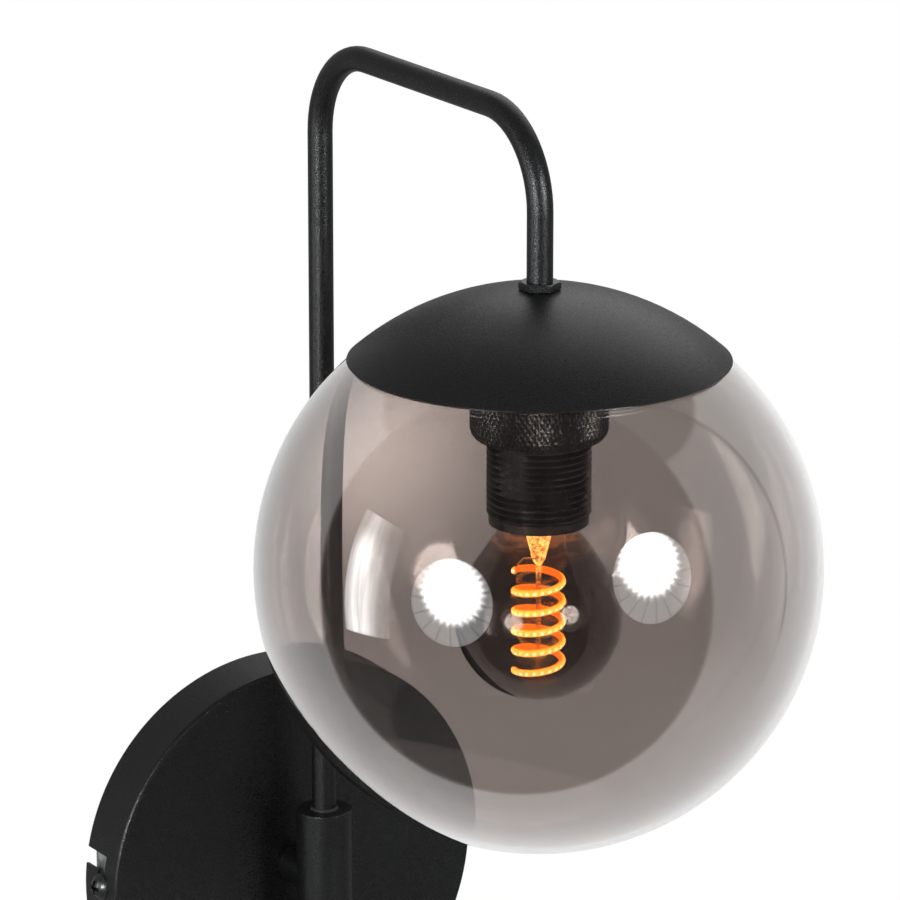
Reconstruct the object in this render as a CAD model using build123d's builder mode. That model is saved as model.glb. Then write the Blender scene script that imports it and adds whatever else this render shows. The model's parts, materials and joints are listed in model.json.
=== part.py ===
"""Wall lamp: a bent tube on a swivel sleeve carries a smoked glass globe under a domed cap.

Millimetres, +Z up. The wall is the plane y = 0, the lamp stands out towards -Y, and the origin is the
middle of the wall plate, on the wall. The solids are the lamp at rest, with its arm square to the wall.
"""
import os
from math import cos, degrees, asin, pi, radians, sin, sqrt, tan

from build123d import *

os.makedirs("parts", exist_ok=True)

# Clearances
RUN_FIT = 0.05  # radial, between a shaft and the hole it turns in
THREAD_FIT = 0.03  # radial, between a screwed piece and its thread
SEAT_GAP = 0.1  # between curved faces that bear on each other
FREE_GAP = 0.3  # between pieces that only have to clear each other
CUT = 1.0  # how far a cutting shape runs past the face it opens
STEP = 1.0  # small steps and bevels between faces

# Wall plate and bracket
PLATE_R = 85.0
PLATE_DEPTH = 25.0
PLATE_WALL = 1.2
PLATE_EDGE_R = 1.6
SLOT_W = 7.0
SLOT_DEPTH = 15.3
SLOT_LEG_W = 5.6
BAYONET_TURN = 6.85  # degrees from the slot's mouth to the seat of its screw
SEAT_TURN = 1.75  # degrees from the plate's level diameter to the seats of the two side screws
SIDE_SCREW_R = 2.45
SIDE_HEAD_R = 5.6
SIDE_HEAD_H = 3.4
SIDE_SCREW_REACH = 3.0  # how far the screw stands past the inside of its ear
RECESS_W_SHARE = 0.28  # width of a screw head's cross recess, as a share of the head's radius
RECESS_SPAN_SHARE = 1.1  # span of the recess, as a share of the head's radius
RECESS_FLOOR_SHARE = 0.45  # height of the recess floor, as a share of the head's height
BRACKET_T = 1.5
BRACKET_W = 34.0
BRACKET_BEND_R = 4.0
EAR_DEPTH = 20.0
WALL_SLOT_SPACING = 120.0
WALL_SLOT_R = 2.6
WALL_SLOT_LENGTH = 16.0
CABLE_ENTRY_R = 11.0

# Terminals behind the plate
BLOCK_X = 26.0
BLOCK_L = 17.0
BLOCK_W = 18.0
BLOCK_H = 13.5
BLOCK_EDGE_R = 1.0
POLE_SPACING = 9.0
POLE_Y = -8.0
POLE_R = 2.1
POLE_BORE_R = 1.2
POLE_SCREW_R = 1.4
POLE_SCREW_SPACING = 8.0
POLE_SLIT_W = 0.5
FIXING_R = 1.5
FIXING_HEAD_R = 2.8
FIXING_HEAD_H = 1.7
EARTH_X = -30.0
EARTH_SCREW_R = 2.0
EARTH_HEAD_R = 3.8
EARTH_HEAD_H = 2.6
WIRE_R = 1.0
WIRE_BEND = 3.0
FEED_BEND = 1.8
LEAD_BEND = 1.5

# Standoff, sleeve and swivel
SLEEVE_R = 11.5
SLEEVE_LENGTH = 63.0
SLEEVE_BORE_R = 8.5
SLEEVE_EDGE = 0.6
SLEEVE_Y = -48.5
STANDOFF_R = 8.0
NIPPLE_R = 5.0
NIPPLE_BORE_R = 3.5
NIPPLE_TAIL = 9.8  # how far the nipple stands into the wall plate
WASHER_R = 12.0
WASHER_T = 1.5
NUT_FLATS = 14.0
NUT_BEVEL = 30.0  # degrees
NIPPLE_NUT_H = 5.0
CABLE_BUSH_H = 1.6
CABLE_BUSH_EDGE_R = 0.5
BUSH_R = 6.0
BUSH_LENGTH = 9.5
BUSH_LIP_R = 5.7
BUSH_LIP_H = 1.0
PLUG_FLANGE_H = 2.0
PLUG_SPIGOT_H = 6.0
COLLAR_H = 8.0
FRICTION_WASHER_T = 1.2
TUBE_FOOT = 1.0  # how far the tube runs below its stop collar
GROOVE_FLOOR_R = 6.4
STOP_SCREW_R = 2.0
STOP_SCREW_TIP_R = 6.8
STOP_SOCKET_R = 1.1
SWIVEL_HALF_RANGE = 60.0
SWIVEL_SPARE = 3.0  # degrees of groove past the screw at each limit

# Arm
TUBE_R = 5.0
TUBE_WALL = 1.0
ARM_HEIGHT = 350.0
ARM_REACH = 160.0
BEND_R = 35.0
CABLE_R = 3.2
CABLE_BEND = 9.0
CABLE_TAIL = 2.6  # how far the cable stands out of its bush

# Globe, cap and the spring that holds the globe
APEX_DROP = 63.9  # from the arm's axis down to the top of the cap
GLOBE_R = 108.0
GLOBE_WALL = 2.4
GLOBE_MOUTH_R = 45.0
GLOBE_EDGE_R = 0.7
CAP_GAP = 0.4
CAP_WALL = 1.2
CAP_RIM_R = 72.5
CAP_NUT_H = 2.8
CAP_NUT_TURN = 28.0  # degrees round the tube to a corner of the nut
CLAMP_NUT_H = 5.0
SPRING_T = 0.6
SPRING_W = 9.0
SPRING_HUB_R = 10.0
SPRING_CATCH = 3.5  # how far each spring arm reaches under the glass
SPRING_TAIL = 9.0
SPRING_BEND = 1.2
ARM_COUNT = 3

# Lampholder, measured up from its lip
LIP_DROP = 91.1  # from the top of the cap down to the lampholder's lip
LIP_R = 19.0
LIP_H = 3.6
THREAD_R = 19.9
THREAD_ROOT_R = 18.6
THREAD_PITCH = 2.5
THREAD_FORM = ((THREAD_ROOT_R, 0.05), (THREAD_R, 0.4), (THREAD_R, 0.6), (THREAD_ROOT_R, 0.95))
FLAT_ANGLES = (205.0, 25.0)  # where the thread is cut away, round the lampholder
FLAT_TURNS = 4  # whole turns of thread left below the flats
BODY_H = 46.0
BODY_BORE_R = 15.9
MOUTH_R = 15.6
RING_R = 25.8
RING_BOTTOM = 33.0
RING_COLLAR_H = 6.0  # how far the ring goes up round the lampholder's cap
HOLDER_CAP_R = 21.5
HOLDER_CAP_H = 17.0
HOLDER_CAP_WALL = 1.8
HOLDER_SHOULDER_H = 10.8
HOLDER_NECK_R = 8.0
HOLDER_NECK_H = 5.0
TUBE_END = 59.0
BLOCK_BOTTOM = 35.0
BLOCK_HEIGHT = 10.0
SHELL_BOTTOM = 9.0
SHELL_BORE_R = 13.5
SHELL_WALL = 0.35
SHELL_MOUTH_R = 8.0
PLUNGER_R = 2.0
PLUNGER_HEAD_R = 4.0
PLUNGER_HEAD_H = 1.3
PLUNGER_TRAVEL = 2.8
SPRING_WELL_R = 4.8
SPRING_WELL_H = 6.0
COIL_R = 3.4
COIL_WIRE_R = 0.35
COIL_TURNS = 4
CLAMP_SIZE = 5.0
CLAMP_X = 9.0
CLAMP_SCREW_R = 1.2

# Bulb, measured from the lampholder's lip
BULB_R = 32.0
BULB_CENTRE = -37.5
BULB_WALL = 0.9
BULB_CONE = 34.0  # degrees between the bulb's shoulder and its axis
NECK_R = 12.5
NECK_BLEND_R = 12.0
NECK_TOP = 9.5
SCREW_CAP_R = 13.2
SCREW_CAP_ROOT_R = 12.2
SCREW_CAP_WALL = 0.5
SCREW_PITCH = 3.629
SCREW_CAP_BOTTOM = 6.0
SCREW_CAP_PLAIN = 5.0
SCREW_CAP_TURNS = 4
TIP_R = 4.6
TIP_H = 1.0
BOARD_T = 1.2
CAPACITOR_R = 4.0
FILAMENT_R = 9.1
FILAMENT_WIRE_R = 1.3
FILAMENT_PITCH = 7.9
FILAMENT_TURNS = 5
FILAMENT_FOOT = -59.0
FILAMENT_START = 148.0  # degrees round the bulb, where the lower end of the filament is
STEM_R = 5.0
STEM_PINCH_R = 2.6
STEM_ROD_R = 1.0
LEAD_R = 0.4
LEAD_BITE = 0.3  # how far a lead reaches in from the line of the filament

# Places worked out from the sizes
SHADE_Y = SLEEVE_Y - ARM_REACH
APEX_Z = ARM_HEIGHT - APEX_DROP
CAP_R = GLOBE_R + CAP_GAP + CAP_WALL
GLOBE_Z = APEX_Z - CAP_R
LIP_Z = APEX_Z - LIP_DROP
SLEEVE_TOP = SLEEVE_LENGTH / 2
SHOULDER_Z = SLEEVE_TOP - BUSH_LENGTH
COLLAR_TOP = SHOULDER_Z - FRICTION_WASHER_T
COLLAR_Z = COLLAR_TOP - COLLAR_H / 2
TUBE_BOTTOM = COLLAR_TOP - COLLAR_H - TUBE_FOOT
PLATE_FACE_Y = -PLATE_DEPTH
PLATE_INSIDE_Y = PLATE_FACE_Y + PLATE_WALL
NIPPLE_TAIL_Y = PLATE_INSIDE_Y + NIPPLE_TAIL
SLEEVE_BACK_Y = SLEEVE_Y + SLEEVE_R
SCREW_SEAT_Y = -(SLOT_DEPTH - SLOT_LEG_W / 2)
SEAT_X = cos(radians(SEAT_TURN))
SEAT_Z = -sin(radians(SEAT_TURN))
SEAT_LINE = Plane((0, 0, 0), x_dir=(0, 1, 0), z_dir=(SEAT_X, 0, SEAT_Z))
SHADE_PLANE = Plane.XZ.offset(-SHADE_Y)
SHADE_AXIS = Axis((0, SHADE_Y, 0), (0, 0, 1))
SLEEVE_PLANE = Plane.XZ.offset(-SLEEVE_Y)
SLEEVE_AXIS = Axis((0, SLEEVE_Y, 0), (0, 0, 1))


def sphere_height(radius, distance):
    """Height of a sphere above its centre, at a distance from its axis."""
    return sqrt(radius ** 2 - distance ** 2)


def outline(*points):
    """Fill the closed outline through the points, in the current sketch."""
    Polygon(*points, align=None)


def ring_section(inner, outer, low, high):
    """Fill the section of a plain ring in the current sketch, ready to be revolved."""
    outline((inner, low), (outer, low), (outer, high), (inner, high))


def finish(builder, name):
    """Label a finished piece and write it out."""
    builder.part.label = name
    export_step(builder.part, f"parts/{name}.step")


def hex_nut(plane, height, bore_r):
    """A hex nut on a plane, with its far corners bevelled."""
    corner_r = NUT_FLATS / sqrt(3)
    rise = (corner_r - NUT_FLATS / 2) * tan(radians(NUT_BEVEL))
    with BuildPart() as nut:
        with BuildSketch(plane):
            RegularPolygon(radius=corner_r, side_count=6)
            Circle(bore_r, mode=Mode.SUBTRACT)
        extrude(amount=height)
        with BuildSketch(Plane(plane.origin, plane.x_dir, -plane.y_dir)):
            outline(
                (NUT_FLATS / 2, height + CUT),
                (NUT_FLATS / 2, height),
                (corner_r, height - rise),
                (corner_r + CUT, height - rise),
                (corner_r + CUT, height + CUT),
            )
        revolve(axis=Axis(plane.origin, plane.z_dir), mode=Mode.SUBTRACT)
    return nut


def dome_screw(plane, shank_r, reach, head_r, head_h):
    """A dome-head screw with a cross recess: its head stands on the plane, its shank goes below."""
    recess_w = head_r * RECESS_W_SHARE
    recess_span = head_r * RECESS_SPAN_SHARE
    dome_r = (head_r ** 2 + head_h ** 2) / (2 * head_h)
    with BuildPart() as screw:
        with BuildSketch(Plane(plane.origin, plane.x_dir, -plane.y_dir)):
            with BuildLine():
                crown = ThreePointArc(
                    (0, head_h),
                    (head_r / 2, head_h - dome_r + sphere_height(dome_r, head_r / 2)),
                    (head_r, 0),
                )
                Polyline(crown @ 1, (shank_r, 0), (shank_r, -reach), (0, -reach), crown @ 0)
            make_face()
        revolve(axis=Axis(plane.origin, plane.z_dir))
        with BuildSketch(plane.offset(head_h * RECESS_FLOOR_SHARE)):
            Rectangle(recess_span, recess_w)
            Rectangle(recess_w, recess_span)
        extrude(amount=head_h, mode=Mode.SUBTRACT)
    return screw.part


def helix_points(radius, pitch, turns, start_angle, foot, y, steps_per_turn):
    """Points and directions along a rising helix about an upright axis."""
    places = []
    for step in range(int(turns * steps_per_turn) + 1):
        angle = radians(start_angle) + 2 * pi * step / steps_per_turn
        point = Vector(
            radius * cos(angle),
            y + radius * sin(angle),
            foot + pitch * step / steps_per_turn,
        )
        direction = Vector(-radius * sin(angle), radius * cos(angle), pitch / (2 * pi))
        places.append((point, direction.normalized()))
    return places


def biarc(start, start_way, end, end_way):
    """Two arcs that join two points and keep the direction at each, in the current line."""
    chord = end - start
    ways = start_way + end_way
    spread = 2 * (1 - start_way.dot(end_way))
    along = chord.dot(ways)
    reach = (sqrt(along ** 2 + spread * chord.dot(chord)) - along) / spread
    first = start + start_way * reach
    second = end - end_way * reach
    middle = (first + second) * 0.5
    TangentArc(start, middle, tangent=start_way)
    TangentArc(middle, end, tangent=(second - first).normalized())


def coil(radius, pitch, turns, start_angle, foot, wire_r):
    """One unbroken round wire wound about the shade's axis, in quarter turns."""
    places = helix_points(radius, pitch, turns, start_angle, foot, SHADE_Y, 4)
    with BuildPart() as wound:
        with BuildLine() as route:
            for (start, start_way), (end, end_way) in zip(places, places[1:]):
                biarc(start, start_way, end, end_way)
        with BuildSketch(Plane(places[0][0], z_dir=places[0][1])):
            Circle(wire_r)
        sweep(path=route.wires()[0])
    return wound


def least_gap(radius, pitch, turns, wire_r):
    """Least gap between the turns of a coil, measured between points on its line."""
    steps = 48
    places = [place for place, way in helix_points(radius, pitch, turns, 0, 0, 0, steps)]
    gaps = [
        (places[low] - places[high]).length
        for low in range(len(places))
        for high in range(low + steps // 2, len(places))
    ]
    return min(gaps) - 2 * wire_r


def round_wire(points, radius, bend):
    """A round wire along straight runs with rounded corners."""
    with BuildPart() as wire:
        with BuildLine() as route:
            FilletPolyline(*points, radius=bend)
        with BuildSketch(Plane(route.line @ 0, z_dir=route.line % 0)):
            Circle(radius)
        sweep(path=route.wires()[0])
    return wire.part


# Wall plate: a spun cup with two bayonet slots in its rim
entry_half = degrees(asin(SLOT_W / 2 / PLATE_R))
with BuildPart() as wall_plate:
    with BuildSketch(Plane.XZ):
        Circle(PLATE_R)
    extrude(amount=PLATE_DEPTH)
    fillet(wall_plate.faces().sort_by(Axis.Y)[0].edges(), PLATE_EDGE_R)
    with BuildSketch(Plane.XZ):
        Circle(PLATE_R - PLATE_WALL)
    extrude(amount=PLATE_DEPTH - PLATE_WALL, mode=Mode.SUBTRACT)
    with BuildSketch(Plane.XZ):
        Circle(NIPPLE_R + SEAT_GAP)
    extrude(amount=PLATE_DEPTH + CUT, mode=Mode.SUBTRACT)
    for side in (0, 180):
        for past_mouth, depth_from in ((BAYONET_TURN, -SLOT_DEPTH + SLOT_LEG_W), (entry_half, CUT)):
            start = radians(side - SEAT_TURN - BAYONET_TURN + past_mouth)
            rim = Plane((0, 0, 0), x_dir=(cos(start), 0, sin(start)), z_dir=(-sin(start), 0, cos(start)))
            with BuildSketch(rim):
                outline(
                    (PLATE_R - PLATE_WALL - CUT, depth_from),
                    (PLATE_R + CUT, depth_from),
                    (PLATE_R + CUT, -SLOT_DEPTH),
                    (PLATE_R - PLATE_WALL - CUT, -SLOT_DEPTH),
                )
            revolve(axis=Axis.Y, revolution_arc=past_mouth + entry_half, mode=Mode.SUBTRACT)
    with BuildSketch(SEAT_LINE.offset(-PLATE_R - CUT)):
        with Locations((SCREW_SEAT_Y, 0)):
            Circle(SLOT_LEG_W / 2)
    extrude(amount=2 * (PLATE_R + CUT), mode=Mode.SUBTRACT)
finish(wall_plate, "wall_plate")

# Wall bracket: a galvanised strip with an ear bent up at each end
ear_x = sqrt((PLATE_R - PLATE_WALL) ** 2 - (BRACKET_W / 2) ** 2) - FREE_GAP
ear_mid = ear_x - BRACKET_T / 2
with BuildPart() as wall_bracket:
    with BuildSketch(Plane.XY):
        with BuildLine():
            FilletPolyline(
                (-ear_mid, -EAR_DEPTH),
                (-ear_mid, -BRACKET_T / 2),
                (ear_mid, -BRACKET_T / 2),
                (ear_mid, -EAR_DEPTH),
                radius=BRACKET_BEND_R,
            )
        trace(line_width=BRACKET_T)
    extrude(amount=BRACKET_W / 2, both=True)
    with BuildSketch(Plane.XZ):
        Circle(CABLE_ENTRY_R)
        with Locations((-WALL_SLOT_SPACING / 2, 0), (WALL_SLOT_SPACING / 2, 0)):
            SlotOverall(WALL_SLOT_LENGTH, 2 * WALL_SLOT_R)
        with Locations((EARTH_X, 0)):
            Circle(EARTH_SCREW_R + THREAD_FIT)
        with Locations((BLOCK_X + BLOCK_L / 2, 0)):
            Circle(FIXING_R + THREAD_FIT)
    extrude(amount=BRACKET_T + CUT, mode=Mode.SUBTRACT)
    with BuildSketch(SEAT_LINE.offset(-PLATE_R)):
        with Locations((SCREW_SEAT_Y, 0)):
            Circle(SIDE_SCREW_R + THREAD_FIT)
    extrude(amount=2 * PLATE_R, mode=Mode.SUBTRACT)
finish(wall_bracket, "wall_bracket")

# Side screws: they hold the wall plate's rim to the bracket's ears
side_seat = PLATE_R + SEAT_GAP
side_reach = side_seat - ear_x + BRACKET_T + SIDE_SCREW_REACH
side_screw_solids = [
    dome_screw(
        Plane(
            (side * side_seat * SEAT_X, SCREW_SEAT_Y, side * side_seat * SEAT_Z),
            x_dir=(0, 1, 0),
            z_dir=(side * SEAT_X, 0, side * SEAT_Z),
        ),
        SIDE_SCREW_R,
        side_reach,
        SIDE_HEAD_R,
        SIDE_HEAD_H,
    )
    for side in (-1, 1)
]
with BuildPart() as side_screws:
    add(side_screw_solids)
finish(side_screws, "side_screws")

# Terminal block with its brass tubes and screws
block_mid = BLOCK_X + BLOCK_L / 2
block_top_y = -BRACKET_T - BLOCK_H
pole_places = [(0, -POLE_SPACING / 2), (0, POLE_SPACING / 2)]
screw_places = [
    (block_mid + along, across)
    for along in (-POLE_SCREW_SPACING / 2, POLE_SCREW_SPACING / 2)
    for across in (-POLE_SPACING / 2, POLE_SPACING / 2)
]
pole_plane = Plane((BLOCK_X, POLE_Y, 0), x_dir=(0, 1, 0), z_dir=(1, 0, 0))
with BuildPart() as terminal_block:
    with BuildSketch(Plane.XZ.offset(BRACKET_T)):
        with Locations((block_mid, 0)):
            RectangleRounded(BLOCK_L, BLOCK_W, BLOCK_EDGE_R)
    extrude(amount=BLOCK_H)
    with BuildSketch(pole_plane):
        with Locations(*pole_places):
            Circle(POLE_R + SEAT_GAP)
    extrude(amount=BLOCK_L, mode=Mode.SUBTRACT)
    with BuildSketch(Plane.XZ.offset(-POLE_Y)):
        with Locations(*screw_places):
            Circle(POLE_SCREW_R + SEAT_GAP)
    extrude(amount=BLOCK_H, mode=Mode.SUBTRACT)
    with BuildSketch(Plane.XZ.offset(BRACKET_T)):
        with Locations((block_mid, 0)):
            Circle(FIXING_R + SEAT_GAP)
    extrude(amount=BLOCK_H, mode=Mode.SUBTRACT)
finish(terminal_block, "terminal_block")

with BuildPart() as terminal_tubes:
    with BuildSketch(pole_plane.offset(STEP)):
        with Locations(*pole_places):
            Circle(POLE_R)
            Circle(POLE_BORE_R, mode=Mode.SUBTRACT)
    extrude(amount=BLOCK_L - 2 * STEP)
    with BuildSketch(Plane.XZ.offset(-POLE_Y)):
        with Locations(*screw_places):
            Circle(POLE_SCREW_R + THREAD_FIT)
    extrude(amount=BLOCK_H, mode=Mode.SUBTRACT)
finish(terminal_tubes, "terminal_tubes")

with BuildPart() as terminal_screws:
    with BuildSketch(Plane.XZ.offset(-POLE_Y + WIRE_R)):
        with Locations(*screw_places):
            Circle(POLE_SCREW_R)
    extrude(amount=-block_top_y + POLE_Y - WIRE_R - STEP)
    with BuildSketch(Plane.XZ.offset(-block_top_y - STEP)):
        with Locations(*screw_places):
            Rectangle(2 * POLE_SCREW_R, POLE_SLIT_W)
    extrude(amount=-STEP, mode=Mode.SUBTRACT)
finish(terminal_screws, "terminal_screws")

fixing_solid = dome_screw(
    Plane((block_mid, block_top_y, 0), x_dir=(1, 0, 0), z_dir=(0, -1, 0)),
    FIXING_R,
    BLOCK_H + BRACKET_T,
    FIXING_HEAD_R,
    FIXING_HEAD_H,
)
with BuildPart() as terminal_fixing:
    add(fixing_solid)
finish(terminal_fixing, "terminal_fixing")

# Earth screw: its head clamps the earth wire to the bracket
earth_seat = -BRACKET_T - 2 * WIRE_R
earth_solid = dome_screw(
    Plane((EARTH_X, earth_seat, 0), x_dir=(1, 0, 0), z_dir=(0, -1, 0)),
    EARTH_SCREW_R,
    BRACKET_T + 2 * WIRE_R,
    EARTH_HEAD_R,
    EARTH_HEAD_H,
)
with BuildPart() as earth_screw:
    add(earth_solid)
finish(earth_screw, "earth_screw")

# Nipple through the plate and the standoff into the sleeve, with its washer, nut and cable bush
nipple_length = NIPPLE_TAIL_Y - (SLEEVE_Y + SLEEVE_BORE_R + SEAT_GAP)
with BuildPart() as nipple:
    with BuildSketch(Plane.XZ.offset(-NIPPLE_TAIL_Y)):
        Circle(NIPPLE_R)
        Circle(NIPPLE_BORE_R, mode=Mode.SUBTRACT)
    extrude(amount=nipple_length)
    with BuildSketch(SLEEVE_PLANE):
        ring_section(0, SLEEVE_BORE_R + SEAT_GAP, -SLEEVE_R, SLEEVE_R)
    revolve(axis=SLEEVE_AXIS, mode=Mode.SUBTRACT)
finish(nipple, "nipple")

with BuildPart() as nipple_washer:
    with BuildSketch(Plane.XZ.offset(-PLATE_INSIDE_Y)):
        Circle(WASHER_R)
        Circle(NIPPLE_R + SEAT_GAP, mode=Mode.SUBTRACT)
    extrude(amount=-WASHER_T)
finish(nipple_washer, "nipple_washer")

nipple_nut = hex_nut(
    Plane((0, PLATE_INSIDE_Y + WASHER_T, 0), x_dir=(1, 0, 0), z_dir=(0, 1, 0)),
    NIPPLE_NUT_H,
    NIPPLE_R + THREAD_FIT,
)
finish(nipple_nut, "nipple_nut")

with BuildPart() as cable_bush:
    with BuildSketch(Plane.XZ.offset(-NIPPLE_TAIL_Y)):
        Circle(NIPPLE_R)
        Circle(CABLE_R + SEAT_GAP, mode=Mode.SUBTRACT)
    extrude(amount=-CABLE_BUSH_H)
    fillet(cable_bush.faces().sort_by(Axis.Y)[-1].edges(), CABLE_BUSH_EDGE_R)
finish(cable_bush, "cable_bush")

# Standoff: a spacer whose front end is hollowed to sit on the sleeve
with BuildPart() as standoff:
    with BuildSketch(Plane.XZ.offset(-PLATE_FACE_Y)):
        Circle(STANDOFF_R)
        Circle(NIPPLE_R + SEAT_GAP, mode=Mode.SUBTRACT)
    extrude(amount=PLATE_FACE_Y - SLEEVE_Y)
    with BuildSketch(SLEEVE_PLANE):
        ring_section(0, SLEEVE_R + SEAT_GAP, -SLEEVE_LENGTH, SLEEVE_LENGTH)
    revolve(axis=SLEEVE_AXIS, mode=Mode.SUBTRACT)
finish(standoff, "standoff")

# Sleeve with the bore for the swivel, the nipple's hole and the stop screw's hole
with BuildPart() as arm_sleeve:
    with BuildSketch(SLEEVE_PLANE):
        outline(
            (SLEEVE_BORE_R, -SLEEVE_TOP + PLUG_FLANGE_H),
            (SLEEVE_R, -SLEEVE_TOP + PLUG_FLANGE_H),
            (SLEEVE_R, SLEEVE_TOP),
            (BUSH_R + SEAT_GAP, SLEEVE_TOP),
            (BUSH_R + SEAT_GAP, SHOULDER_Z),
            (SLEEVE_BORE_R, SHOULDER_Z),
        )
    revolve(axis=SLEEVE_AXIS)
    top_rim = arm_sleeve.faces().sort_by(Axis.Z)[-1].edges().sort_by(SortBy.LENGTH)[-1]
    fillet(top_rim, SLEEVE_EDGE)
    with BuildSketch(Plane.XZ.offset(-SLEEVE_BACK_Y - CUT)):
        Circle(NIPPLE_R + THREAD_FIT)
    extrude(amount=-2 * CUT - SLEEVE_R + SLEEVE_BORE_R, both=True, mode=Mode.SUBTRACT)
    with BuildSketch(SLEEVE_PLANE.offset(-SLEEVE_BORE_R + CUT)):
        with Locations((0, COLLAR_Z)):
            Circle(STOP_SCREW_R + THREAD_FIT)
    extrude(amount=-SLEEVE_R, mode=Mode.SUBTRACT)
finish(arm_sleeve, "arm_sleeve")

with BuildPart() as sleeve_plug:
    with BuildSketch(SLEEVE_PLANE):
        outline(
            (0, -SLEEVE_TOP),
            (SLEEVE_R - SLEEVE_EDGE, -SLEEVE_TOP),
            (SLEEVE_R, -SLEEVE_TOP + SLEEVE_EDGE),
            (SLEEVE_R, -SLEEVE_TOP + PLUG_FLANGE_H),
            (SLEEVE_BORE_R - SEAT_GAP, -SLEEVE_TOP + PLUG_FLANGE_H),
            (SLEEVE_BORE_R - SEAT_GAP, -SLEEVE_TOP + PLUG_FLANGE_H + PLUG_SPIGOT_H),
            (SLEEVE_BORE_R - PLUG_FLANGE_H, -SLEEVE_TOP + PLUG_FLANGE_H + PLUG_SPIGOT_H),
            (SLEEVE_BORE_R - PLUG_FLANGE_H, -SLEEVE_TOP + PLUG_FLANGE_H),
            (0, -SLEEVE_TOP + PLUG_FLANGE_H),
        )
    revolve(axis=SLEEVE_AXIS)
finish(sleeve_plug, "sleeve_plug")

with BuildPart() as swivel_bush:
    with BuildSketch(SLEEVE_PLANE):
        outline(
            (TUBE_R + RUN_FIT, SHOULDER_Z),
            (BUSH_R, SHOULDER_Z),
            (BUSH_R, SLEEVE_TOP),
            (BUSH_LIP_R, SLEEVE_TOP),
            (BUSH_LIP_R, SLEEVE_TOP + BUSH_LIP_H / 2),
            (TUBE_R + RUN_FIT, SLEEVE_TOP + BUSH_LIP_H),
        )
    revolve(axis=SLEEVE_AXIS)
finish(swivel_bush, "swivel_bush")

# Swivel stop: a grooved collar on the tube's foot, and the screw whose tip runs in the groove
groove_half = SWIVEL_HALF_RANGE + SWIVEL_SPARE + degrees(asin(STOP_SCREW_R / STOP_SCREW_TIP_R))
groove_h = 2 * (STOP_SCREW_R + FREE_GAP)
groove_start = radians(90 - groove_half)
groove_plane = Plane(
    (0, SLEEVE_Y, COLLAR_Z),
    x_dir=(cos(groove_start), sin(groove_start), 0),
    z_dir=(sin(groove_start), -cos(groove_start), 0),
)
with BuildPart() as stop_collar:
    with BuildSketch(SLEEVE_PLANE):
        ring_section(TUBE_R + THREAD_FIT, SLEEVE_BORE_R - FREE_GAP, COLLAR_TOP - COLLAR_H, COLLAR_TOP)
    revolve(axis=SLEEVE_AXIS)
    with BuildSketch(groove_plane):
        ring_section(GROOVE_FLOOR_R, SLEEVE_BORE_R, -groove_h / 2, groove_h / 2)
    revolve(axis=SLEEVE_AXIS, revolution_arc=2 * groove_half, mode=Mode.SUBTRACT)
finish(stop_collar, "stop_collar")

stop_tail = SLEEVE_R - SEAT_GAP - SLEEVE_EDGE
with BuildPart() as stop_screw:
    with BuildSketch(SLEEVE_PLANE.offset(-STOP_SCREW_TIP_R)):
        with Locations((0, COLLAR_Z)):
            Circle(STOP_SCREW_R)
    extrude(amount=-(stop_tail - STOP_SCREW_TIP_R))
    with BuildSketch(SLEEVE_PLANE.offset(-stop_tail)):
        with Locations((0, COLLAR_Z)):
            RegularPolygon(radius=STOP_SOCKET_R, side_count=6)
    extrude(amount=STOP_SCREW_R, mode=Mode.SUBTRACT)
finish(stop_screw, "stop_screw")

with BuildPart() as friction_washer:
    with BuildSketch(SLEEVE_PLANE):
        ring_section(TUBE_R + SEAT_GAP, SLEEVE_BORE_R - FREE_GAP, COLLAR_TOP, SHOULDER_Z)
    revolve(axis=SLEEVE_AXIS)
finish(friction_washer, "friction_washer")

# Arm tube, bent forward and then down into the lampholder
def arm_route(low, end):
    """Corner points of a run up from the sleeve, along the arm and down to the lampholder."""
    return [
        (0, SLEEVE_Y, low),
        (0, SLEEVE_Y, ARM_HEIGHT),
        (0, SHADE_Y, ARM_HEIGHT),
        (0, SHADE_Y, end),
    ]


tube_end_z = LIP_Z + TUBE_END
with BuildPart() as arm_tube:
    with BuildLine() as tube_line:
        FilletPolyline(*arm_route(TUBE_BOTTOM, tube_end_z), radius=BEND_R)
    with BuildSketch(Plane((0, SLEEVE_Y, TUBE_BOTTOM))):
        Circle(TUBE_R)
        Circle(TUBE_R - TUBE_WALL, mode=Mode.SUBTRACT)
    sweep(path=tube_line.wires()[0])
finish(arm_tube, "arm_tube")

# Cable: one length in the arm, one from the swivel to the wall plate
cable_split = TUBE_BOTTOM + FREE_GAP
cable_end_z = tube_end_z - CABLE_TAIL
with BuildPart() as arm_cable:
    add(round_wire(arm_route(cable_split + FREE_GAP, cable_end_z), CABLE_R, BEND_R))
finish(arm_cable, "arm_cable")

cable_end_y = NIPPLE_TAIL_Y + CABLE_TAIL
with BuildPart() as feed_cable:
    add(
        round_wire(
            [(0, SLEEVE_Y, cable_split), (0, SLEEVE_Y, 0), (0, cable_end_y, 0)],
            CABLE_R,
            CABLE_BEND,
        )
    )
finish(feed_cable, "feed_cable")

# Conductors behind the wall plate
lead_offset = CABLE_R / 2
feed_wire_solids = [
    round_wire(
        [
            (lead_offset, cable_end_y, side * lead_offset),
            (lead_offset, POLE_Y, side * lead_offset),
            (BLOCK_X / 2 + WIRE_BEND, POLE_Y, side * POLE_SPACING / 2),
            (BLOCK_X + POLE_SCREW_SPACING, POLE_Y, side * POLE_SPACING / 2),
        ],
        WIRE_R,
        FEED_BEND,
    )
    for side in (-1, 1)
]
with BuildPart() as feed_wires:
    add(feed_wire_solids)
finish(feed_wires, "feed_wires")

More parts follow.
